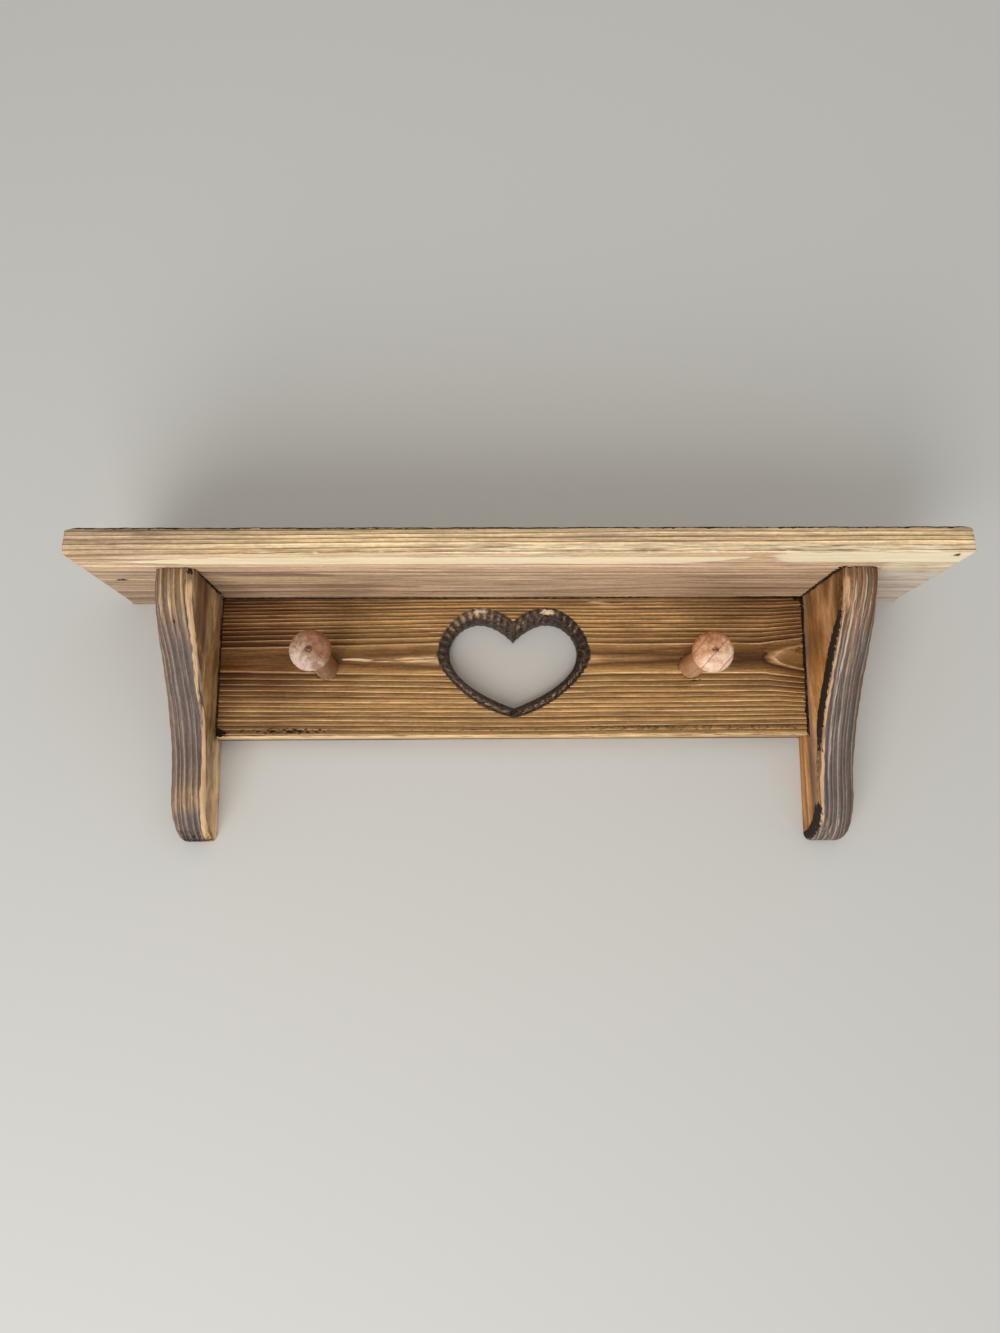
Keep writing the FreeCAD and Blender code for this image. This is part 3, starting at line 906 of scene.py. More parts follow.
# %% Scorched pine material
def scorched_pine(name, wood, colours, roughness, fibre_strength, hair_gain, hair_apart=1.5, carved=False):
    """The finish of one board. colours names its tones, and carved adds the charred cuts round the heart."""
    material, tree, shader, place = new_material(name)
    rings = ring_count(tree, place, wood)
    phase = add(tree, "ShaderNodeMath", [rings], operation="FRACT")
    number = add(tree, "ShaderNodeMath", [rings], operation="ROUND")
    chance = add(tree, "ShaderNodeTexWhiteNoise", [number], noise_dimensions="1D")
    fibres = stretched_noise(tree, place, wood, 16.0, 0.7, 3.0, 0.6)
    streaks = stretched_noise(tree, place, wood, 60.0, 3.0, 3.0)
    patches = stretched_noise(tree, place, wood, 110.0, 14.0, 2.0)
    specks = stretched_noise(tree, place, wood, 3.0, 1.2, 2.0)

    # The ring colours: dark or golden, then greyed by smoke, which on the shelf's underside also lays in
    # painted shade.
    dark, gold, smoke = [
        add(tree, "ShaderNodeValToRGB", [phase], colours[key]) for key in ("dark", "gold", "smoke")
    ]
    gold_share = add(
        tree, "ShaderNodeMath", [painted(tree, "gold"), spread(tree, patches, -0.3, 0.3)],
        operation="ADD", use_clamp=True,
    )
    colour = add(tree, "ShaderNodeMix", [gold_share, dark, gold], data_type="RGBA")
    smoky = painted(tree, "smoke")
    present = add(tree, "ShaderNodeMapRange", [smoky, 0.0, 0.15, 0.0, 1.0])
    smoky = add(tree, "ShaderNodeMath", [smoky, spread(tree, patches, 0.2, -0.2)], operation="ADD")
    smoky = add(tree, "ShaderNodeMath", [smoky, present], operation="MULTIPLY", use_clamp=True)
    colour = add(tree, "ShaderNodeMix", [smoky, colour, smoke], data_type="RGBA")

    # Fibres, streaks, grit, hairlines and a chance for each ring make the tone uneven.
    light = spread(tree, fibres, 1 - fibre_strength, 1 + fibre_strength)
    hairs = hairlines(tree, place, wood, hair_apart)
    for factor in (
        spread(tree, streaks, 0.82, 1.18),
        spread(tree, specks, 1 - 0.5 * fibre_strength, 1 + 0.5 * fibre_strength),
        add(tree, "ShaderNodeMapRange", [hairs, 0.0, 1.0, 1.0, hair_gain]),
        add(tree, "ShaderNodeMapRange", [chance, 0.0, 1.0, 0.8, 1.2]),
    ):
        light = add(tree, "ShaderNodeMath", [light, factor], operation="MULTIPLY")
    colour = add(tree, "ShaderNodeVectorMath", [colour, light], operation="SCALE")

    # What was painted on, from the faintest to what covers all the rest. Singe and soot also carry painted
    # contact shade, and bare also carries a painted highlight on the shelf's front.
    singe_and_shade = ragged(tree, "singe_and_shade", specks, 0.35)
    left_of_it = add(tree, "ShaderNodeMapRange", [singe_and_shade, 0.0, 1.0, 1.0, 0.42])
    colour = add(tree, "ShaderNodeVectorMath", [colour, left_of_it], operation="SCALE")
    bare = ragged(tree, "bare", fibres, 0.22, 0.3, 0.7)
    bare_light = [spread(tree, fibres, 0.9, 1.08), spread(tree, streaks, 0.9, 1.06)]
    bare_light = add(tree, "ShaderNodeMath", bare_light, operation="MULTIPLY")
    bare_wood = [linear(colours["bare"])[:3], bare_light]
    bare_wood = add(tree, "ShaderNodeVectorMath", bare_wood, operation="SCALE")
    colour = add(tree, "ShaderNodeMix", [bare, colour, bare_wood], data_type="RGBA")
    if carved:
        cut_tone = [painted(tree, "stroke_ridge"), spread(tree, specks, -0.25, 0.25)]
        cut_tone = add(tree, "ShaderNodeMath", cut_tone, operation="ADD")
        charred = add(tree, "ShaderNodeValToRGB", [cut_tone], colours["charred"])
        rim = add(tree, "ShaderNodeMapRange", [painted(tree, "rim"), 0.3, 0.7, 0.0, 1.0])
        colour = add(tree, "ShaderNodeMix", [rim, colour, charred], data_type="RGBA")
    pale = ragged(tree, "pale", specks if carved else fibres, 0.3, 0.2, 0.9)
    soot_and_shade = ragged(tree, "soot_and_shade", specks, 0.35)
    for share, key in ((pale, "pale"), (soot_and_shade, "soot_and_shade")):
        colour = add(tree, "ShaderNodeMix", [share, colour, linear(colours[key])], data_type="RGBA")
    tree.links.new(colour, shader.inputs["Base Color"])

    # Soot is matt, and the brushed surface is finely uneven.
    gloss = add(tree, "ShaderNodeMath", [soot_and_shade, 0.35, roughness], operation="MULTIPLY_ADD")
    gloss = add(tree, "ShaderNodeMath", [gloss, spread(tree, streaks, -0.06, 0.06)], operation="ADD")
    tree.links.new(gloss, shader.inputs["Roughness"])
    shader.inputs["Specular IOR Level"].default_value = 0.2
    height = add(tree, "ShaderNodeMath", [specks, 0.4, fibres], operation="MULTIPLY_ADD")
    bump = add(tree, "ShaderNodeBump", {"Strength": 0.6, "Distance": 0.3 * MM, "Height": height})
    tree.links.new(bump, shader.inputs["Normal"])
    print(name, "nodes", len(tree.nodes))
    return material


# %% [markdown]
# ## The shelf's finish
#
# The shelf was scorched least. Its front edge is honey with five or six brown ring lines, and a painted
# highlight runs along its lower part. The underside starts with a bright cream band, where the board's face
# runs along one ring, and turns to a pinkish tan with finer lines, then to a smoky brown at the back that
# also carries painted shade of the corner by the panel. Painted contact shade darkens it along the joints.

# %% Places on the shelf
nose, under, top = shelf_low[1], shelf_low[2], shelf_high[2]


def shelf_places(piece):
    """Each point's place, its depth behind the front edge, and its shares of the front and underside."""
    x, y, z = point_array(piece).T
    depth = y - nose
    front = 1 - smooth(depth, 1.0, 3.0)
    below = 1 - smooth(z, under + 0.6, under + 2.0)
    return x, y, z, depth, front, below


def striped_strip(x, depth):
    """The striped strip of the underside, just behind the front edge."""
    return (1 - smooth(depth, 7.5, 9.0)) * smooth(x, -215, -150) * (1 - smooth(x, 100, 150))


# %% Gold, smoke, painted shade and grey on the shelf
def paint_shelf_tones(piece):
    """Gold on top and in front, smoke and painted shade towards the wall, and a bleached end of the
    underside.
    """
    x, y, z, depth, _, below = shelf_places(piece)
    above = smooth(z, top - 2.2, top - 0.8)
    wedge = streak(x, y, (-186.0, -62.0), (-96.0, -56.0), 8.0)
    shaded = 1 - 0.25 * smooth(np.abs(x), 205, 240) - 0.75 * wedge - 0.95 * striped_strip(x, depth)
    paint(piece, "gold", 1 - below * shaded - 0.5 * above * smooth(depth, 2, 20))
    smoke_front = (0.4 - 0.34 * smooth(x, -250, -60)) * (1 - below)
    # Towards the back of the underside, most at the back left, painted shade of the corner by the panel is
    # laid in with the smoke; the waves and streaks after it are smoke marks.
    smoke_and_shade_below = 0.5 * smooth(depth, 30, 105) + 0.25 * smooth(-x, 40, 190) * smooth(depth, 55, 110)
    smoke_and_shade_below += 0.25 * smooth(-x, 205, 222) * smooth(depth, 20, 45) + 0.12 * waves(x + 2 * y, (170, 90), 6)
    bent = depth + 0.02 * x + 4 * waves(x, (310, 170), 5)
    smoke_and_shade_below += 0.62 * waves(bent, (23, 13, 8.5), 7) * smooth(depth, 22, 34) - 0.5 * wedge
    for strength, *shape in (
        (0.9, (-190.0, -76.0), (-110.0, -70.0), 5.0),
        (0.7, (-190.0, -46.0), (-60.0, -44.0), 5.0),
        (0.5, (92.0, -66.0), (188.0, -60.0), 3.0),
        (0.5, (60.0, -44.0), (188.0, -38.0), 3.0),
    ):
        smoke_and_shade_below += strength * streak(x, y, *shape)
    paint(piece, "smoke", smoke_front + smoke_and_shade_below * below)
    grey_end = smooth(x, 206, 214) * smooth(depth, 20, 44) * (0.66 + 0.3 * waves(bent, (17, 9), 11))
    paint(piece, "pale", grey_end * below)


# %% Bare wood and a painted highlight on the shelf
def paint_shelf_wear(piece):
    """The cream band, which narrows to the left, the pale right end, the worn lower front arris and a painted
    highlight along the lower front.
    """
    x, _, z, depth, front, below = shelf_places(piece)
    band_low = 12.0 - 3.7 * smooth(x, -221, -141) + 1.0 * smooth(x, 92, 140)
    band_high = 21.5 - 12.5 * smooth(x, 88, 140)
    taper = 1 - smooth(x, -240, -178)
    band_low = band_low + 4.0 * taper
    band_high = band_high - 5.5 * taper
    band = between(depth, band_low, band_high, 0.9) * smooth(x, -236, -226) * (1 - smooth(x, 124, 132))
    pale_start = smooth(x, 122, 156)
    pale_right = pale_start * between(depth, 0.5, 6.0 + 14.0 * pale_start, 6.0) * 0.95
    pale_right = np.maximum(pale_right, smooth(x, 200, 212) * between(depth, 0.5, 66.0, 20.0) * 0.5)
    pale_right = np.maximum(pale_right, 0.34 * striped_strip(x, depth))
    burr = near(z, under + 0.5, 1.3) * front * (0.45 + 0.5 * waves(x, (37, 13, 7), 8)) * smooth(x, -215, -150)
    # A painted highlight along the lower part of the front face, laid in with the bare wood.
    lit_front = between(z, under + 1.2, under + 4.5, 0.8) * front * 0.5 * smooth(x, -180, 20)
    bare = np.maximum.reduce([np.maximum(band, pale_right) * below, 0.6 * burr, lit_front])
    paint(piece, "bare", bare)


# %% Soot and painted shade on the shelf
def paint_shelf_soot(piece):
    """Painted contact shade in the joints, a dark top arris, and sooty marks in a slit, round a pin and on a
    small knot.
    """
    x, y, z, depth, front, below = shelf_places(piece)
    above = smooth(z, top - 2.2, top - 0.8)
    # The joints with the brackets and the panel get a dark line of painted contact shade on the underside.
    lip = left_low[1]
    covered = smooth(y, lip - 2, lip + 2)
    beside = np.maximum.reduce([
        near(x, left_high[0] + off_square(y, left_out) + 0.3, 1.6),
        near(x, right_low[0] + off_square(y, right_out) - 0.4, 2.4),
        0.55 * near(x, left_low[0] - 0.3, 1.2), 0.6 * near(x, right_high[0] + 0.3, 1.3),
    ])
    before = between(x, left_low[0] - 1, left_high[0] + 1, 0.8)
    before = (before + between(x, right_low[0] - 1, right_high[0] + 1, 0.8)) * near(y, lip - 0.2, 1.2) * 0.7
    shade_along_panel = between(x, left_high[0], right_low[0], 0.5) * near(y, face_y - 0.3, 1.2)
    shade_along_panel = shade_along_panel * (1 - 0.7 * between(x, 90, 144, 10))
    joints = np.maximum.reduce([beside * covered, before, shade_along_panel]) * below
    corners = near(x, shelf_low[0], 1.2) * below * 0.6 + near(x, shelf_high[0], 1.2) * below * 0.6
    # A dark band along the top arris, darker still at the left end.
    dark_top_arris = above * (0.86 + 0.1 * waves(x, (43, 17, 6), 9) + 0.14 * smooth(-x, 205, 235))
    dark_top_arris = dark_top_arris * (1 - smooth(depth, 1.2, 3.0))
    slit = near(x, -236.0, 5.6) * near(y, -61.7, 2.3) * below
    pin = near(x, 238.0, 1.1) * near(z, 34.0, 0.9) * front
    knot = near(x, 242.0, 3.6) * near(y, nose + 6.0, 4.5) * below
    paint(piece, "soot_and_shade", np.maximum.reduce([joints, corners, dark_top_arris, slit, pin, 0.8 * knot]))


paint_shelf_tones(shelf)
paint_shelf_wear(shelf)
paint_shelf_soot(shelf)

# %% The shelf's colours
shelf_colours = {
    "gold": [
        (0.0, "#f0d4aa"), (0.06, "#cca878"), (0.13, "#7c5a34"), (0.22, "#a88458"), (0.4, "#d2b284"),
        (0.8, "#dcc098"), (1.0, "#f0d4aa"),
    ],
    "dark": [
        (0.0, "#efd4b8"), (0.06, "#d8b692"), (0.14, "#94704c"), (0.26, "#c0a07e"), (0.6, "#d2b090"),
        (0.88, "#dcba9a"), (1.0, "#efd4b8"),
    ],
    "smoke": [
        (0.0, "#c0a48c"), (0.08, "#a88c72"), (0.18, "#705640"), (0.3, "#8c7058"), (0.6, "#9c8068"),
        (0.88, "#a68a72"), (1.0, "#c0a48c"),
    ],
    "bare": "#ffeec8", "soot_and_shade": "#2a1d12", "pale": "#d6cabc",
}
shelf_finish = scorched_pine(
    "honey_scorched_pine", shelf_wood, shelf_colours, roughness=0.5, fibre_strength=0.26, hair_gain=0.72
)

# %% [markdown]
# ## The panel's finish
#
# The panel has the strongest grain: pale raised lines on brown. It's darkest near its ends, more golden
# round the heart and lowest down. A black line of painted contact shade runs in the joints at both ends
# and at the top, and a ring of it lies round each peg's seat. The flame left a burnt streak near the lower
# left corner and a row of dark specks on the lower right. The lower arris is worn to bare wood.

# %% Gold and smoke on the panel
band_middle_z = -12.3
patch_tip_x, patch_middle_z = 159.5, -9.5


def paint_panel_tones(piece):
    """Gold round the heart and low down, and smoke in the wide plain band and the pointed patch."""
    x, _, z = point_array(piece).T
    middle = smooth(x, -160, -80) * (1 - 0.85 * smooth(x, 100, 178))
    lower = 1 - smooth(z, -50, -24)
    upper_right = smooth(x, 30, 60) * smooth(z, 12, 22) * (1 - smooth(x, 120, 170))
    gold = 0.06 + 0.77 * middle + 0.34 * lower + 0.2 * upper_right
    right_low = smooth(x, 70, 130) * lower * 0.6
    gold += right_low + 0.1 * waves(x, (90, 37), 15) + 0.18 * near(x, -166, 64) * near(z, -34, 15)
    gold += 0.3 * near(x, 80, 52) * near(z, -19, 22) + 0.16 * near(x, 160, 36) * near(z, -22, 18)
    half_band = np.interp(x, (-188, -150, -81, -50), (4.5, 6.0, 8.5, 9.0))
    half_band = np.where(x > 0, np.interp(x, (45, 90, 150), (7.5, 7.0, 8.0)), half_band)
    band = 1 - smooth(np.abs(z - band_middle_z), half_band - 1.5, half_band + 0.3)
    band = band * (1 - smooth(x, 150, 158))
    patch_half = 1.9 * np.sqrt(np.maximum(x - patch_tip_x, 0.0))
    patch = (1 - smooth(np.abs(z - patch_middle_z), patch_half - 0.6, patch_half + 0.2)) * (x > patch_tip_x)
    beside_patch = between(x, 118, 158, 14) * near(z, -10.0, 22.0)
    dark_band = band * smooth(-x, 95, 165)
    paint(piece, "gold", np.where(patch > 0.5, 0.8, gold - 0.2 * dark_band))
    smoke = band * (0.66 - 0.46 * (x > 0)) * (1 - 0.5 * dark_band) * (1 - 0.6 * beside_patch)
    paint(piece, "smoke", np.maximum(smoke, 0.85 * patch))


# %% Bare wood, soot, singe and painted shade on the panel
def face_share(y):
    """1 on the panel's face and 0 behind it."""
    return 1 - smooth(y, face_y + 0.8, face_y + 2.0)


def paint_panel_wear(piece):
    """The worn lower arris, and short ridges that were rubbed bare."""
    x, y, z = point_array(piece).T
    low, on_face = panel_low, face_share(y)
    lower_arris = near(z, low[2] + 0.6, 2.0) * (1 - smooth(y, face_y + 5, face_y + 12))
    lower_arris = lower_arris * (0.62 - 0.16 * smooth(x, 0, 180))
    worn_lines = strongest_streak(x, z, [
        (0.75, (-112.0, -14.0), (-92.0, -14.6), 1.1), (0.6, (-103.0, -15.2), (-74.0, -15.6), 0.45),
        (0.8, (-79.0, -13.9), (-51.0, -12.8), 0.7), (0.7, (-74.0, -15.8), (-50.0, -14.9), 0.7),
        (0.55, (44.0, 22.9), (62.0, 22.4), 0.9), (0.5, (46.0, 20.6), (70.0, 21.6), 0.8),
        (0.45, (60.0, 22.4), (112.0, 22.6), 0.6), (0.45, (107.0, -33.0), (121.0, -30.5), 0.7),
    ])
    paint(piece, "bare", np.maximum(lower_arris, worn_lines * on_face))


def panel_marks(x, y, z):
    """Painted contact shade in the joints at both ends, at the top and round the pegs' seats, and burnt marks
    along the lower edge.
    """
    low, high, on_face = panel_low, panel_high, face_share(y)
    uneven = 0.5 + 0.5 * waves(z, (34, 15, 6), 16)
    # Dark lines of painted contact shade where the panel meets the brackets and the shelf.
    left_gap = x - low[0] - tilt_shift(z) - off_square(y, left_out)
    right_gap = high[0] + tilt_shift(z) + off_square(y, right_out) - x
    shade_at_left = 1 - smooth(left_gap, 0.2, 1.0 + 0.8 * uneven)
    shade_at_right = 1 - smooth(right_gap, 0.3, 1.5 + 1.2 * uneven)
    black_top = np.maximum(1 - smooth(x, 70, 100), smooth(x, 135, 150))
    top = 1 - smooth(high[2] - z, 0.1, 0.9 + 0.3 * waves(x, (31, 12), 17))
    top = top * (0.3 + 0.65 * black_top)
    corner_right = near(x, high[0] - 2.5, 7.0) * near(z, high[2], 6.0) * 0.75
    blob = near(x, low[0] + 1.6, 5.5) * near(z, -60.5, 4.0)
    burnt_streak = streak(x, z, (-183.0, -59.6), (-114.0, -59.4), 2.2)
    burnt_streak = burnt_streak * (0.42 + 0.16 * between(x, -160, -128, 6))
    specks_and_seat_shade = between(x, 40, 180, 10) * near(z, -58.4, 2.6) * (0.5 + 0.12 * waves(x, (11, 5, 3.1), 18))
    black_marks = strongest_streak(x, z, [
        (0.8, (106.0, -30.4), (119.0, -27.2), 0.5), (0.5, (-166.0, -59.8), (-120.0, -59.4), 1.7),
    ])
    knot = near(x, 180.0, 3.4) * near(z, -9.0, 3.6) * 0.62
    lower_specks = between(x, -100, 48, 20) * near(z, -59.5, 1.2) * 0.42
    # A ring of painted contact shade round each peg's seat, laid in with the specks.
    for middle in peg_middles:
        seat_shade = near(np.hypot(x - middle[0], z - middle[2]), 7.7, 0.9) * 0.62
        specks_and_seat_shade = np.maximum(specks_and_seat_shade, seat_shade)
    on_front = np.maximum(blob, black_marks) * on_face
    soot_and_shade = np.maximum.reduce([shade_at_left, shade_at_right, top, corner_right, on_front])
    singe_and_shade = np.maximum.reduce([burnt_streak, specks_and_seat_shade, lower_specks, knot]) * on_face
    return soot_and_shade, singe_and_shade


# %% [markdown]
# ## The charred rim of the heart
#
# Each gouge stroke left a scoop between two sharp ridges. The torch blackened the scoops and spared the
# ridges. The same count of strokes that shaped the plug colours them here: a point's place along the rim,
# divided by the strokes' pitch, says how near it lies to a ridge. Some ridges chipped when they were cut,
# and show pale wood.

# %% Where the heart's rim lies
def heart_distances(x, z):
    """Each point's distances from the hole's edge and from the rim's, and its nearest place on the rim."""
    distances = []
    for outline in (hole_outline, rim_outline):
        gaps = np.hypot(x[:, None] - outline[None, :, 0], z[:, None] - outline[None, :, 1])
        distances.append(gaps.min(axis=1))
    return *distances, gaps.argmin(axis=1)


def inside_outline(x, z, outline):
    """True for each point that lies inside a closed outline."""
    inside = np.zeros(len(x), dtype=bool)
    for (xa, za), (xb, zb) in zip(outline, np.roll(outline, -1, axis=0)):
        if za == zb:
            continue
        crosses = (za > z) != (zb > z)
        inside ^= crosses & (x < (xb - xa) * (z - za) / (zb - za) + xa)
    return inside


# %% The cuts round the heart
def paint_heart(piece):
    """Pale ridges between dark scoops, the charred wall inside, and the marks on the rest of the panel."""
    x, y, z = point_array(piece).T
    soot_and_shade, singe_and_shade = panel_marks(x, y, z)
    to_hole, to_rim, index = heart_distances(x, z)
    inside = inside_outline(x, z, rim_outline)
    rim = np.where(inside, 1.0, 1 - smooth(to_rim, 0.4, 1.6))
    across = np.where(inside, to_rim / (to_rim + to_hole + 1e-6), 0.0)
    along = rim_along[index] / stroke_pitch - 0.35 * across
    rim_x, rim_z = rim_outline[index].T
    upper = smooth(rim_z, -30, 0)
    uneven_strokes = np.clip(0.5 + 0.8 * waves(rim_along[index], (29, 13, 6.1), 23), 0, 1)
    left_lobe = near(rim_x, -30.0, 22.0) * upper
    ridge = np.abs(2 * (along % 1.0) - 1) ** 3 * (0.25 + 0.75 * upper)
    ridge = ridge * (0.3 + 0.6 * uneven_strokes + 0.4 * left_lobe)
    ridge = ridge * (1 - smooth(across, 0.4, 0.62)) + 0.2 + 0.05 * upper + 0.3 * left_lobe
    wall = smooth(across, 0.5, 0.62)
    lip_edge = near(across, 0.58, 0.1) * 0.25 * uneven_strokes
    ridge = ridge * (1 - wall) + 0.3 * wall + lip_edge - 0.12 * smooth(rim_x, 14, 34)
    arm_flecks = (1 - upper) * between(across, 0.1, 0.5, 0.12)
    ridge += arm_flecks * (0.3 + 0.6 * waves(rim_along[index] + 9 * across, (9, 5.2, 3.1), 19))
    ridge += 0.4 * near(x, 2.0, 4.0) * near(z, 4.0, 9.0) * (1 - wall)
    paint(piece, "stroke_ridge", ridge)
    paint(piece, "rim", rim)

    # Chipped ridges on both lobes, golden cuts on the arms, and soot that spread past the rim.
    lobes = np.maximum(near(rim_x, -24.0, 9.0) * 0.62, near(rim_x, 20.0, 7.0) * 0.95)
    pale = lobes * (rim_z > 3) * (1 - smooth(across, 0.15, 0.5)) * inside
    golden_cuts = arm_flecks * (0.3 + 0.5 * waves(rim_along[index] + 7 * across, (7, 4.4, 2.7), 20)) * inside
    paint(piece, "pale", np.maximum(pale, golden_cuts))
    halo = (1 - smooth(to_rim, 0.0, 1.2)) * (to_rim < 2) * 0.45
    low_left = near(rim_x, -26.0, 22.0) * (1 - smooth(rim_z, -22, -6))
    scorched_edge = (1 - smooth(to_rim, 0.6, 1.4 + 2.0 * low_left)) * (0.3 + 0.4 * low_left) * (1 - inside)
    paint(piece, "singe_and_shade", np.maximum(singe_and_shade, scorched_edge))
    tip = near(x, heart_middle_x, 5.0) * near(z, rim_outline[:, 1].min() + 2.5, 3.6)
    paint(piece, "soot_and_shade", np.maximum.reduce([soot_and_shade, halo, 0.55 * tip]))


paint_panel_tones(panel)
paint_panel_wear(panel)
paint_heart(panel)

# %% The panel's colours
panel_colours = {
    "dark": [
        (0.0, "#cca67e"), (0.07, "#94693e"), (0.13, "#2a1304"), (0.26, "#4e2d10"), (0.7, "#6c431d"),
        (0.93, "#7c502c"), (1.0, "#cca67e"),
    ],
    "gold": [
        (0.0, "#fadcb0"), (0.07, "#cea06c"), (0.14, "#583a1a"), (0.26, "#8c6436"), (0.7, "#b48a54"),
        (0.93, "#c0945e"), (1.0, "#fadcb0"),
    ],
    "smoke": [(0.0, "#b0885c"), (0.1, "#926a42"), (0.2, "#7c5630"), (0.7, "#90683e"), (1.0, "#b0885c")],
    "charred": [(0.0, "#1c120c"), (0.3, "#44352a"), (0.6, "#665444"), (0.85, "#86705a"), (1.0, "#a08668")],
    "pale": "#e4c29c", "bare": "#ecca9c", "soot_and_shade": "#20140b",
}
panel_finish = scorched_pine(
    "brown_scorched_pine", panel_wood, panel_colours,
    roughness=0.5, fibre_strength=0.28, hair_gain=0.72, carved=True,
)

# %% [markdown]
# ## The brackets' finish
#
# The brackets' front edges were burnt to a greyish brown, with pale streaks down the grain. Their inner
# arrises are worn to bare wood, beside a scorched band on the right bracket. The inner faces are warmer,
# and the toes are black underneath. Painted contact shade darkens them under the shelf, along the panel
# and, on the left bracket, at the wall. The attributes across and along, which follow the shaped edge,
# place the bands.

# %% Places on the brackets
def bracket_places(piece):
    """Each point's measure across and down the front edge, and its shares of the front and inner face."""
    read = []
    for key in ("across", "along", "front"):
        values = np.empty(len(piece.data.vertices), dtype=np.float32)
        piece.data.attributes[key].data.foreach_get("value", values)
        read.append(values.astype(float))
    across, along, on_front = read
    return across, along, on_front, (1 - smooth(on_front, 0.0, 0.4)) * (across < 0)


# %% Finish the left bracket
def paint_left_bracket(piece):
    """Gold, smoke, sooty marks, painted contact shade and bare wood on the left bracket."""
    x, y, z = point_array(piece).T
    across, along, on_front, inner_face = bracket_places(piece)

    # The inner face has a pointed figure in its grain, above a golden foot.
    rise = z - 0.65 * np.abs(y + 55)
    chevron = smooth(rise, -20, -15) * inner_face
    chevron_line = near(rise, -21, 2.6) * inner_face * between(y, -70, -26, 4)
    golden = smooth(0.78 * (y + 25) - z, 18, 26) * inner_face
    toe_side = between(across, -4, 1 + 0.12 * np.maximum(along - 140, 0), 0.8) * smooth(along, 140, 160)
    gold = np.maximum(0.62 * inner_face + 0.45 * golden, 0.8 * toe_side) + 0.1 * waves(along, (70, 33), 41)
    paint(piece, "gold", gold - 0.35 * chevron)
    grey = between(along, 34, 130, 18) * 0.75 + 0.12 + 0.88 * smooth(along, 146, 156)
    wear = near(along, 142, 9) * between(across, 1.5, 12, 2)
    mottle = 0.22 * waves(across, (7.1, 3.8, 2.3), 45) * (1 + 0.6 * waves(along, (37, 17), 46))
    paint(piece, "smoke", on_front * (grey + mottle - 0.6 * wear) * (1 - toe_side))

    # Two worn strips follow the inner arris, one below the other, with dark lines beside them.
    wobble = 0.2 * waves(along, (47, 19, 8), 42)
    a_low = np.interp(along, (20, 47, 70, 88), (-0.4, -1.1, 0.8, 1.0)) + wobble
    a_high = np.interp(along, (4, 20, 47, 70, 88), (3.3, 3.4, 2.2, 2.7, 1.8)) + wobble
    strip_a = between(across, a_low, a_high + 0.4, 0.5) * between(along, 6, 84, 6) * 0.68
    b_low = np.interp(along, (75, 108, 142, 165, 185), (-2.4, -1.6, -2.4, 0.3, 2.4)) + wobble
    b_high = np.interp(along, (75, 86, 108, 142, 165, 185), (0.2, 0.8, 1.8, 3.0, 3.6, 4.2)) + wobble
    strip_b = between(across, b_low + 0.3, b_high - 0.3, 0.5) * between(along, 84, 176, 8) * 0.72
    streak_1 = near(across, 11.5 + wobble, 1.5) * between(along, 3, 42, 8) * 0.4
    streak_2 = near(across, 16.8 + wobble, 1.6) * between(along, 3, 34, 8) * 0.4
    worn_spots = wear * on_front * (0.22 + 0.22 * waves(across + 0.4 * along, (5.2, 2.9), 44))
    worn = [strip_a, strip_b, streak_1, streak_2, worn_spots, 0.45 * chevron_line]
    paint(piece, "bare", np.maximum.reduce(worn))
    paint(piece, "pale", 0.46 * golden)
    edge_line = np.maximum.reduce([
        near(across, a_high + 0.6, 0.7) * between(along, 0, 62, 6) * 0.62,
        near(across, b_high + 0.5, 0.8) * between(along, 66, 140, 8) * 0.6,
        near(across, b_low - 0.7, 0.7) * between(along, 140, 185, 8) * 0.45,
    ])

    # Painted contact shade lies under the shelf, along the panel and along the back edge, and soot on a small
    # knot and below the toe.
    contact_shade = 1 - smooth(left_high[2] - z, 0.2, 1.3)
    contact_shade = contact_shade * (0.5 + 0.35 * waves(y, (13, 5), 43))
    blot = near(across, 2.0, 3.6) * near(along, 1.5, 4.4) * 0.62
    toe = smooth(-z, 118, 128) * 0.5 * np.maximum(on_front, across > 0) + smooth(-z, 124, 129) * 0.3
    toe = toe * smooth(-y, 2, 6)
    back = near(y, -1.0, 0.8) * 0.4
    on_inner = x > left_high[0] - 1.6
    shade_at_panel = near(y, face_y - 0.4, 1.3) * (z > panel_low[2] - 1) * on_inner * 0.9
    ring_knot = near(across, 10.3, 1.6) * near(along, 31, 2.5) * 0.5
    dark_toe = 0.5 * smooth(along, 158, 168) * on_front * (1 - toe_side)
    paint(piece, "singe_and_shade", np.maximum(edge_line, dark_toe))
    paint(piece, "soot_and_shade", np.maximum.reduce([contact_shade, blot, toe, back, shade_at_panel, ring_knot]))


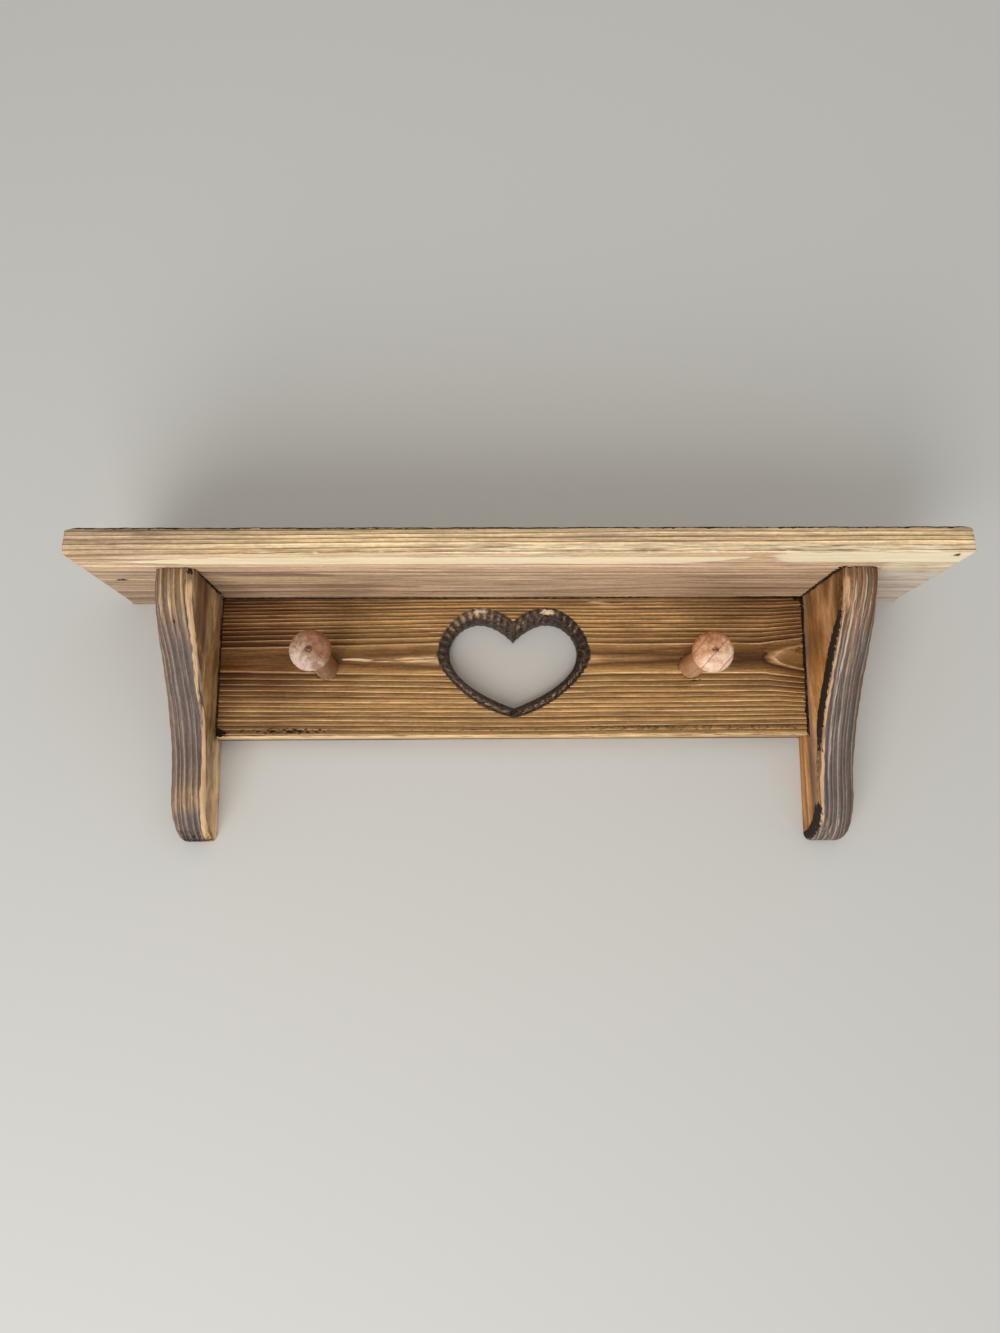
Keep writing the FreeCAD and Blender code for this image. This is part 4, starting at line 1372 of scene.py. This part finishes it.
# %% Finish the right bracket
def paint_right_bracket(piece):
    """Gold, smoke, sooty marks, painted contact shade and bare wood on the right bracket."""
    x, y, z = point_array(piece).T
    across, along, on_front, inner_face = bracket_places(piece)
    warm = 0.16 + 0.26 * smooth(along, 95, 120) + 0.84 * between(along, 58, 112, 18)
    gold = inner_face * (warm + 0.12 * waves(along, (60, 31), 51)) + 0.1 * waves(along, (80, 29), 52)
    paint(piece, "gold", gold)
    behind = near(y, face_y - 3.0, 6.0) * inner_face * 0.5
    paint(piece, "smoke", on_front * (0.3 + 0.57 * smooth(along, 16, 52)) + behind)

    # The inner arris is mottled above and worn to a strip below, and pale streaks run down the front.
    wobble = 0.5 * waves(along, (53, 21, 9), 53)
    mottled_width = 4.2 - 2.6 * smooth(along, 14, 44)
    mottled = between(across, -2.4, mottled_width + wobble, 0.6) * between(along, 3, 40, 5)
    strip_wide = 1.9 + 0.6 * smooth(along, 105, 125) + 0.2 * wobble
    strip_strength = 0.66 + 0.14 * smooth(along, 100, 125)
    strip = between(across, 0.1, strip_wide, 0.4) * between(along, 34, 165, 8) * strip_strength
    streaks = np.maximum.reduce([
        near(across, middle + 0.6 * wobble, 0.75) * between(along, start, end, 10) * strength
        for middle, start, end, strength in (
            (5.6, 8, 62, 1.0), (5.0, 56, 92, 0.75), (5.2, 98, 128, 0.7), (11.7, 0, 40, 0.8),
            (8.4, 20, 70, 0.5), (15.5, 2, 36, 0.5), (9.5, 84, 120, 0.45),
        )
    ])
    paint(piece, "pale", streaks)
    toe_streaks = np.maximum.reduce([near(across, middle, 0.6) for middle in (2.4, 4.8, 8.0, 11.5)])
    toe_streaks = toe_streaks * between(along, 155, 190, 5) * on_front * 0.55
    paint(piece, "bare", np.maximum.reduce([0.46 * mottled, strip, toe_streaks]))

    # A black band widens beside the worn strip, and the toe's inner corner is black too.
    band_width = 2.2 + 8.0 * between(along, 34, 108, 18)
    band = between(across, -0.2 - band_width, -0.1, 0.8) * between(along, 24, 118, 12) * 0.88
    olive = between(across, -8.0, -1.8, 0.8) * (1 - smooth(along, 28, 44)) * 0.55
    faded_band = between(across, -4.6, -0.2, 0.8) * between(along, 108, 146, 12) * 0.5
    paint(piece, "singe_and_shade", np.maximum.reduce([olive, faded_band, 0.42 * mottled]))
    # Painted contact shade lies under the shelf and along the panel.
    contact_shade = 1 - smooth(right_high[2] - z, 0.2, 1.4)
    contact_shade = contact_shade * (0.5 + 0.4 * waves(y, (13, 5), 54))
    toe = between(across, -8, 1.4, 1.6) * smooth(along, 145, 154) * 0.88
    on_inner = x < right_low[0] + 1.6
    shade_at_panel = near(y, face_y - 0.4, 1.5) * (z > panel_low[2] - 1) * on_inner * 0.9
    mark = near(across, 0.8, 1.6) * near(along, 116, 1.6) * 0.9
    paint(piece, "soot_and_shade", np.maximum.reduce([band, contact_shade, toe, shade_at_panel, mark]))


paint_left_bracket(left_bracket)
paint_right_bracket(right_bracket)

# %% The brackets' colours
left_colours = {
    "dark": [
        (0.0, "#b69a7e"), (0.12, "#9c7f64"), (0.26, "#64503e"), (0.5, "#866c54"), (0.8, "#92765c"),
        (1.0, "#b69a7e"),
    ],
    "gold": [
        (0.0, "#dcb888"), (0.1, "#c49c6c"), (0.2, "#8a683e"), (0.5, "#b08a58"), (0.85, "#bc9460"),
        (1.0, "#dcb888"),
    ],
    "smoke": [
        (0.0, "#8a7a72"), (0.15, "#74655e"), (0.3, "#53453f"), (0.55, "#61524b"), (0.8, "#6a5a53"),
        (1.0, "#8a7a72"),
    ],
    "bare": "#d4ae84", "soot_and_shade": "#20150e", "pale": "#caa678",
}
right_colours = {
    "dark": [
        (0.0, "#a9825c"), (0.1, "#8e6840"), (0.22, "#644428"), (0.45, "#7c5734"), (0.8, "#865f3a"),
        (1.0, "#a9825c"),
    ],
    "gold": [
        (0.0, "#dca878"), (0.1, "#d09862"), (0.2, "#a8743e"), (0.5, "#c48c52"), (0.85, "#cc945a"),
        (1.0, "#dca878"),
    ],
    "smoke": [
        (0.0, "#94887f"), (0.1, "#786b64"), (0.22, "#4e433e"), (0.48, "#605650"), (0.8, "#6c615b"),
        (1.0, "#94887f"),
    ],
    "bare": "#d0a67e", "soot_and_shade": "#2e2520", "pale": "#c0ac9c",
}
left_finish = scorched_pine(
    "left_bracket_pine", left_wood, left_colours,
    roughness=0.55, fibre_strength=0.3, hair_gain=1.3, hair_apart=2.2,
)
right_finish = scorched_pine(
    "right_bracket_pine", right_wood, right_colours,
    roughness=0.55, fibre_strength=0.26, hair_gain=1.3, hair_apart=2.2,
)

# %% Give the boards their finishes
def dress(piece, node, material):
    """Gives a piece its finish, smooth shading but for sharp arrises, and its place in the frame."""
    piece.data.materials.clear()
    piece.data.materials.append(material)
    piece.data.polygons.foreach_set("use_smooth", [True] * len(piece.data.polygons))
    piece.data.set_sharp_from_angle(angle=math.radians(40))
    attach(piece, "root")
    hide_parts(node)
    print(piece.name, "stands for", node, "in", material.name)


dressed = [
    (shelf, "shelf_board", shelf_finish), (panel, "back_panel", panel_finish),
    (left_bracket, "left_bracket", left_finish), (right_bracket, "right_bracket", right_finish),
]
for piece, node, material in dressed:
    dress(piece, node, material)

# %% [markdown]
# ## The pegs' finish
#
# Turned beech is pinkish and close-grained. The head shows end grain: a few thin ring lines across it and
# a dark centre where the lathe held it. The two pegs come from different lengths of dowel, so one is
# ruddy and mottled and the other is an even peach with three clear lines. Painted light and shade run
# across each head, the neck is painted in shade and the rim at the panel carries a painted highlight.

# %% Beech for the pegs
def turned_beech(name, wood, node, tones, neck_shade_colour, line_colour, line_share, light_side):
    """Beech with painted light and shade across the head along light_side, with thin ring lines."""
    material, tree, shader, place = new_material(name)
    middle = (boxes[node][0] + boxes[node][1]) / 2
    from_axis = add(tree, "ShaderNodeVectorMath", [place, list(middle * MM)], operation="SUBTRACT")
    # Painted light and shade: the tones run from the side of the head away from light_side to the side
    # towards it.
    lit = add(tree, "ShaderNodeVectorMath", [from_axis, light_side], operation="DOT_PRODUCT")
    mottle = stretched_noise(tree, place, wood, 18.0, 3.0, 3.0)
    flecks = stretched_noise(tree, place, wood, 5.0, 0.7, 2.0)
    shade = add(tree, "ShaderNodeMapRange", [lit, -11 * MM, 11 * MM, 0.0, 1.0])
    shade = add(tree, "ShaderNodeMath", [shade, spread(tree, mottle, -0.32, 0.32)], operation="ADD")
    colour = add(tree, "ShaderNodeValToRGB", [shade], tones)
    phase = add(tree, "ShaderNodeMath", [ring_count(tree, place, wood)], operation="FRACT")
    line = [phase, 0.0, line_share, 1.0, 0.0]
    line = add(tree, "ShaderNodeMapRange", line, interpolation_type="SMOOTHSTEP")
    colour = add(tree, "ShaderNodeMix", [line, colour, linear(line_colour)], data_type="RGBA")
    fleck_light = spread(tree, flecks, 0.88, 1.1)
    colour = add(tree, "ShaderNodeVectorMath", [colour, fleck_light], operation="SCALE")

    # The neck is painted in shade, the rim at the panel carries a painted highlight, and the head has its
    # centre pit.
    depth = add(tree, "ShaderNodeSeparateXYZ", [place]).node.outputs["Y"]
    neck_shade_tone = add(tree, "ShaderNodeMix", [0.6, colour, linear(neck_shade_colour)], data_type="RGBA")
    neck_shade = [depth, (face_y - 58) * MM, (face_y - 40) * MM, 0.0, 1.0]
    neck_shade = add(tree, "ShaderNodeMapRange", neck_shade, interpolation_type="SMOOTHSTEP")
    # A painted highlight on the peg within about two millimetres of the panel.
    rim_highlight = [depth, (face_y - 2.2) * MM, (face_y - 1.2) * MM, 0.0, 0.55]
    rim_highlight = add(tree, "ShaderNodeMapRange", rim_highlight, interpolation_type="SMOOTHSTEP")
    for share, tone in (
        (neck_shade, neck_shade_tone), (rim_highlight, linear("#c9a484")), (painted(tree, "pit"), linear("#3c2a22")),
    ):
        colour = add(tree, "ShaderNodeMix", [share, colour, tone], data_type="RGBA")
    tree.links.new(colour, shader.inputs["Base Color"])
    shader.inputs["Roughness"].default_value = 0.42
    bump = add(tree, "ShaderNodeBump", {"Strength": 0.3, "Distance": 0.1 * MM, "Height": flecks})
    tree.links.new(bump, shader.inputs["Normal"])
    return material


def paint_pit(piece):
    """Marks the lathe's centre pit in the head."""
    points = point_array(piece)
    head = points[points[:, 1] < points[:, 1].min() + 0.9]
    centre = head.mean(axis=0)
    gap = np.hypot(points[:, 0] - centre[0], points[:, 2] - centre[2])
    on_head = points[:, 1] < points[:, 1].min() + 2
    paint(piece, "pit", (1 - smooth(gap, 1.4, 2.1)) * on_head)


paint_pit(peg_left)
paint_pit(peg_right)
left_peg_wood = Wood("YXZ", (-79.5, 60.0), (0.0, 0.0), 5.5, (1.6, 60.0, 12.0), 0.4)
right_peg_wood = Wood("YXZ", (180.0, -85.0), (0.0, 0.0), 8.9, (0.5, 60.0, 20.0), 0.1, shift=0.5)
# Each peg's tones run from painted shade to painted light across its head, besides the wood's own colour, and
# the colour after them is the neck's painted shade.
left_peg_finish = turned_beech(
    "ruddy_beech", left_peg_wood, "left_peg",
    [(0.0, "#7c4a28"), (0.25, "#935e38"), (0.5, "#98705a"), (0.75, "#b4937c"), (1.0, "#ceb4a2")],
    "#7c5636", "#a06a4a", 0.05, (-0.75, 0.0, -0.66),
)
right_peg_finish = turned_beech(
    "peach_beech", right_peg_wood, "right_peg",
    [(0.0, "#965e38"), (0.3, "#b98056"), (0.6, "#d6a27c"), (1.0, "#f0ccb0")],
    "#a87850", "#9c5c3a", 0.1, (0.5, 0.0, -0.86),
)
dress(peg_left, "left_peg", left_peg_finish)
dress(peg_right, "right_peg", right_peg_finish)

# %% [markdown]
# ## Dowels and steel
#
# The hidden dowels are plain beech, and the plates and screws on the back are zinc-plated steel: bright,
# slightly bluish and cloudy. They keep the CAD meshes and only get materials.

# %% Dowels and steel
def zinc_plating():
    """Zinc plating on pressed steel, with the cloudy spangle of the bath."""
    material, tree, shader, place = new_material("zinc_plated_steel")
    cloud = add(tree, "ShaderNodeTexNoise", {"Vector": place, "Scale": 1 / (3 * MM), "Detail": 3.0})
    tone = add(tree, "ShaderNodeValToRGB", [cloud], [(0.3, "#a4a7aa"), (0.7, "#c6c9cc")])
    tree.links.new(tone, shader.inputs["Base Color"])
    tree.links.new(spread(tree, cloud, 0.25, 0.45), shader.inputs["Roughness"])
    shader.inputs["Metallic"].default_value = 1.0
    return material


def dowel_beech():
    """Pale beech, faintly mottled."""
    material, tree, shader, place = new_material("dowel_beech")
    grain = add(tree, "ShaderNodeTexNoise", {"Vector": place, "Scale": 1 / (2 * MM), "Detail": 4.0})
    tone = add(tree, "ShaderNodeValToRGB", [grain], [(0.3, "#bd9364"), (0.7, "#dcb98a")])
    tree.links.new(tone, shader.inputs["Base Color"])
    shader.inputs["Roughness"].default_value = 0.6
    return material


hidden_finishes = {
    zinc_plating(): ("left_hanger_plate", "right_hanger_plate", "hanger_screws"),
    dowel_beech(): ("shelf_dowels", "panel_end_dowels", "panel_top_dowels"),
}
for material, nodes in hidden_finishes.items():
    for node in nodes:
        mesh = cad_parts[node].data
        mesh.materials.clear()
        mesh.materials.append(material)
        print(node, "in", material.name)

# %% [markdown]
# ## Backdrop and light
#
# A plain pale wall stands just behind the shelf's back and takes its soft shadow.

# %% Backdrop and light
backdrop_gap = 0.4
backdrop_half = 3000.0
backdrop = make_piece(
    "backdrop",
    [(i * backdrop_half, backdrop_gap, j * backdrop_half) for i, j in ((-1, -1), (1, -1), (1, 1), (-1, 1))],
    [(0, 1, 2, 3)],
)
wall_material = bpy.data.materials.new("pale_wall")
wall_material.use_nodes = True
wall_tree = wall_material.node_tree
wall_tree.nodes.clear()
wall_paint = add(wall_tree, "ShaderNodeBsdfDiffuse", {"Color": linear("#cbc9c4")})
seen_through = add(wall_tree, "ShaderNodeBsdfTransparent")
behind = add(wall_tree, "ShaderNodeNewGeometry").node.outputs["Backfacing"]
wall_mix = add(wall_tree, "ShaderNodeMixShader", [behind, wall_paint, seen_through])
add(wall_tree, "ShaderNodeOutputMaterial", {"Surface": wall_mix})
backdrop.data.materials.append(wall_material)
backdrop.visible_shadow = False


def area_light(name, place, target, size, power):
    """A soft square lamp aimed at a target, both in millimetres."""
    data = bpy.data.lights.new(name, "AREA")
    data.size = size * MM
    data.energy = power
    lamp = bpy.data.objects.new(name, data)
    lamp.location = Vector(place) * MM
    aim = Vector(target) * MM - lamp.location
    lamp.rotation_mode = "QUATERNION"
    lamp.rotation_quaternion = aim.to_track_quat("-Z", "Y")
    bpy.context.scene.collection.objects.link(lamp)
    print(name, power, "W")


centre = (0.0, -50.0, -40.0)
area_light("low_softbox", (-450, -1000, -1100), centre, 1100, 16)
area_light("high_fill", (300, -1500, 700), centre, 1200, 3)
area_light("rear_fill", (600, 1500, 700), centre, 1500, 12)

world = bpy.data.worlds.new("pale_room")
world.use_nodes = True
bpy.context.scene.world = world
sky = next(node for node in world.node_tree.nodes if node.type == "BACKGROUND")
sky.inputs["Color"].default_value = linear("#e6e6e4")
sky.inputs["Strength"].default_value = 0.62
bpy.context.scene.view_settings.view_transform = "Standard"
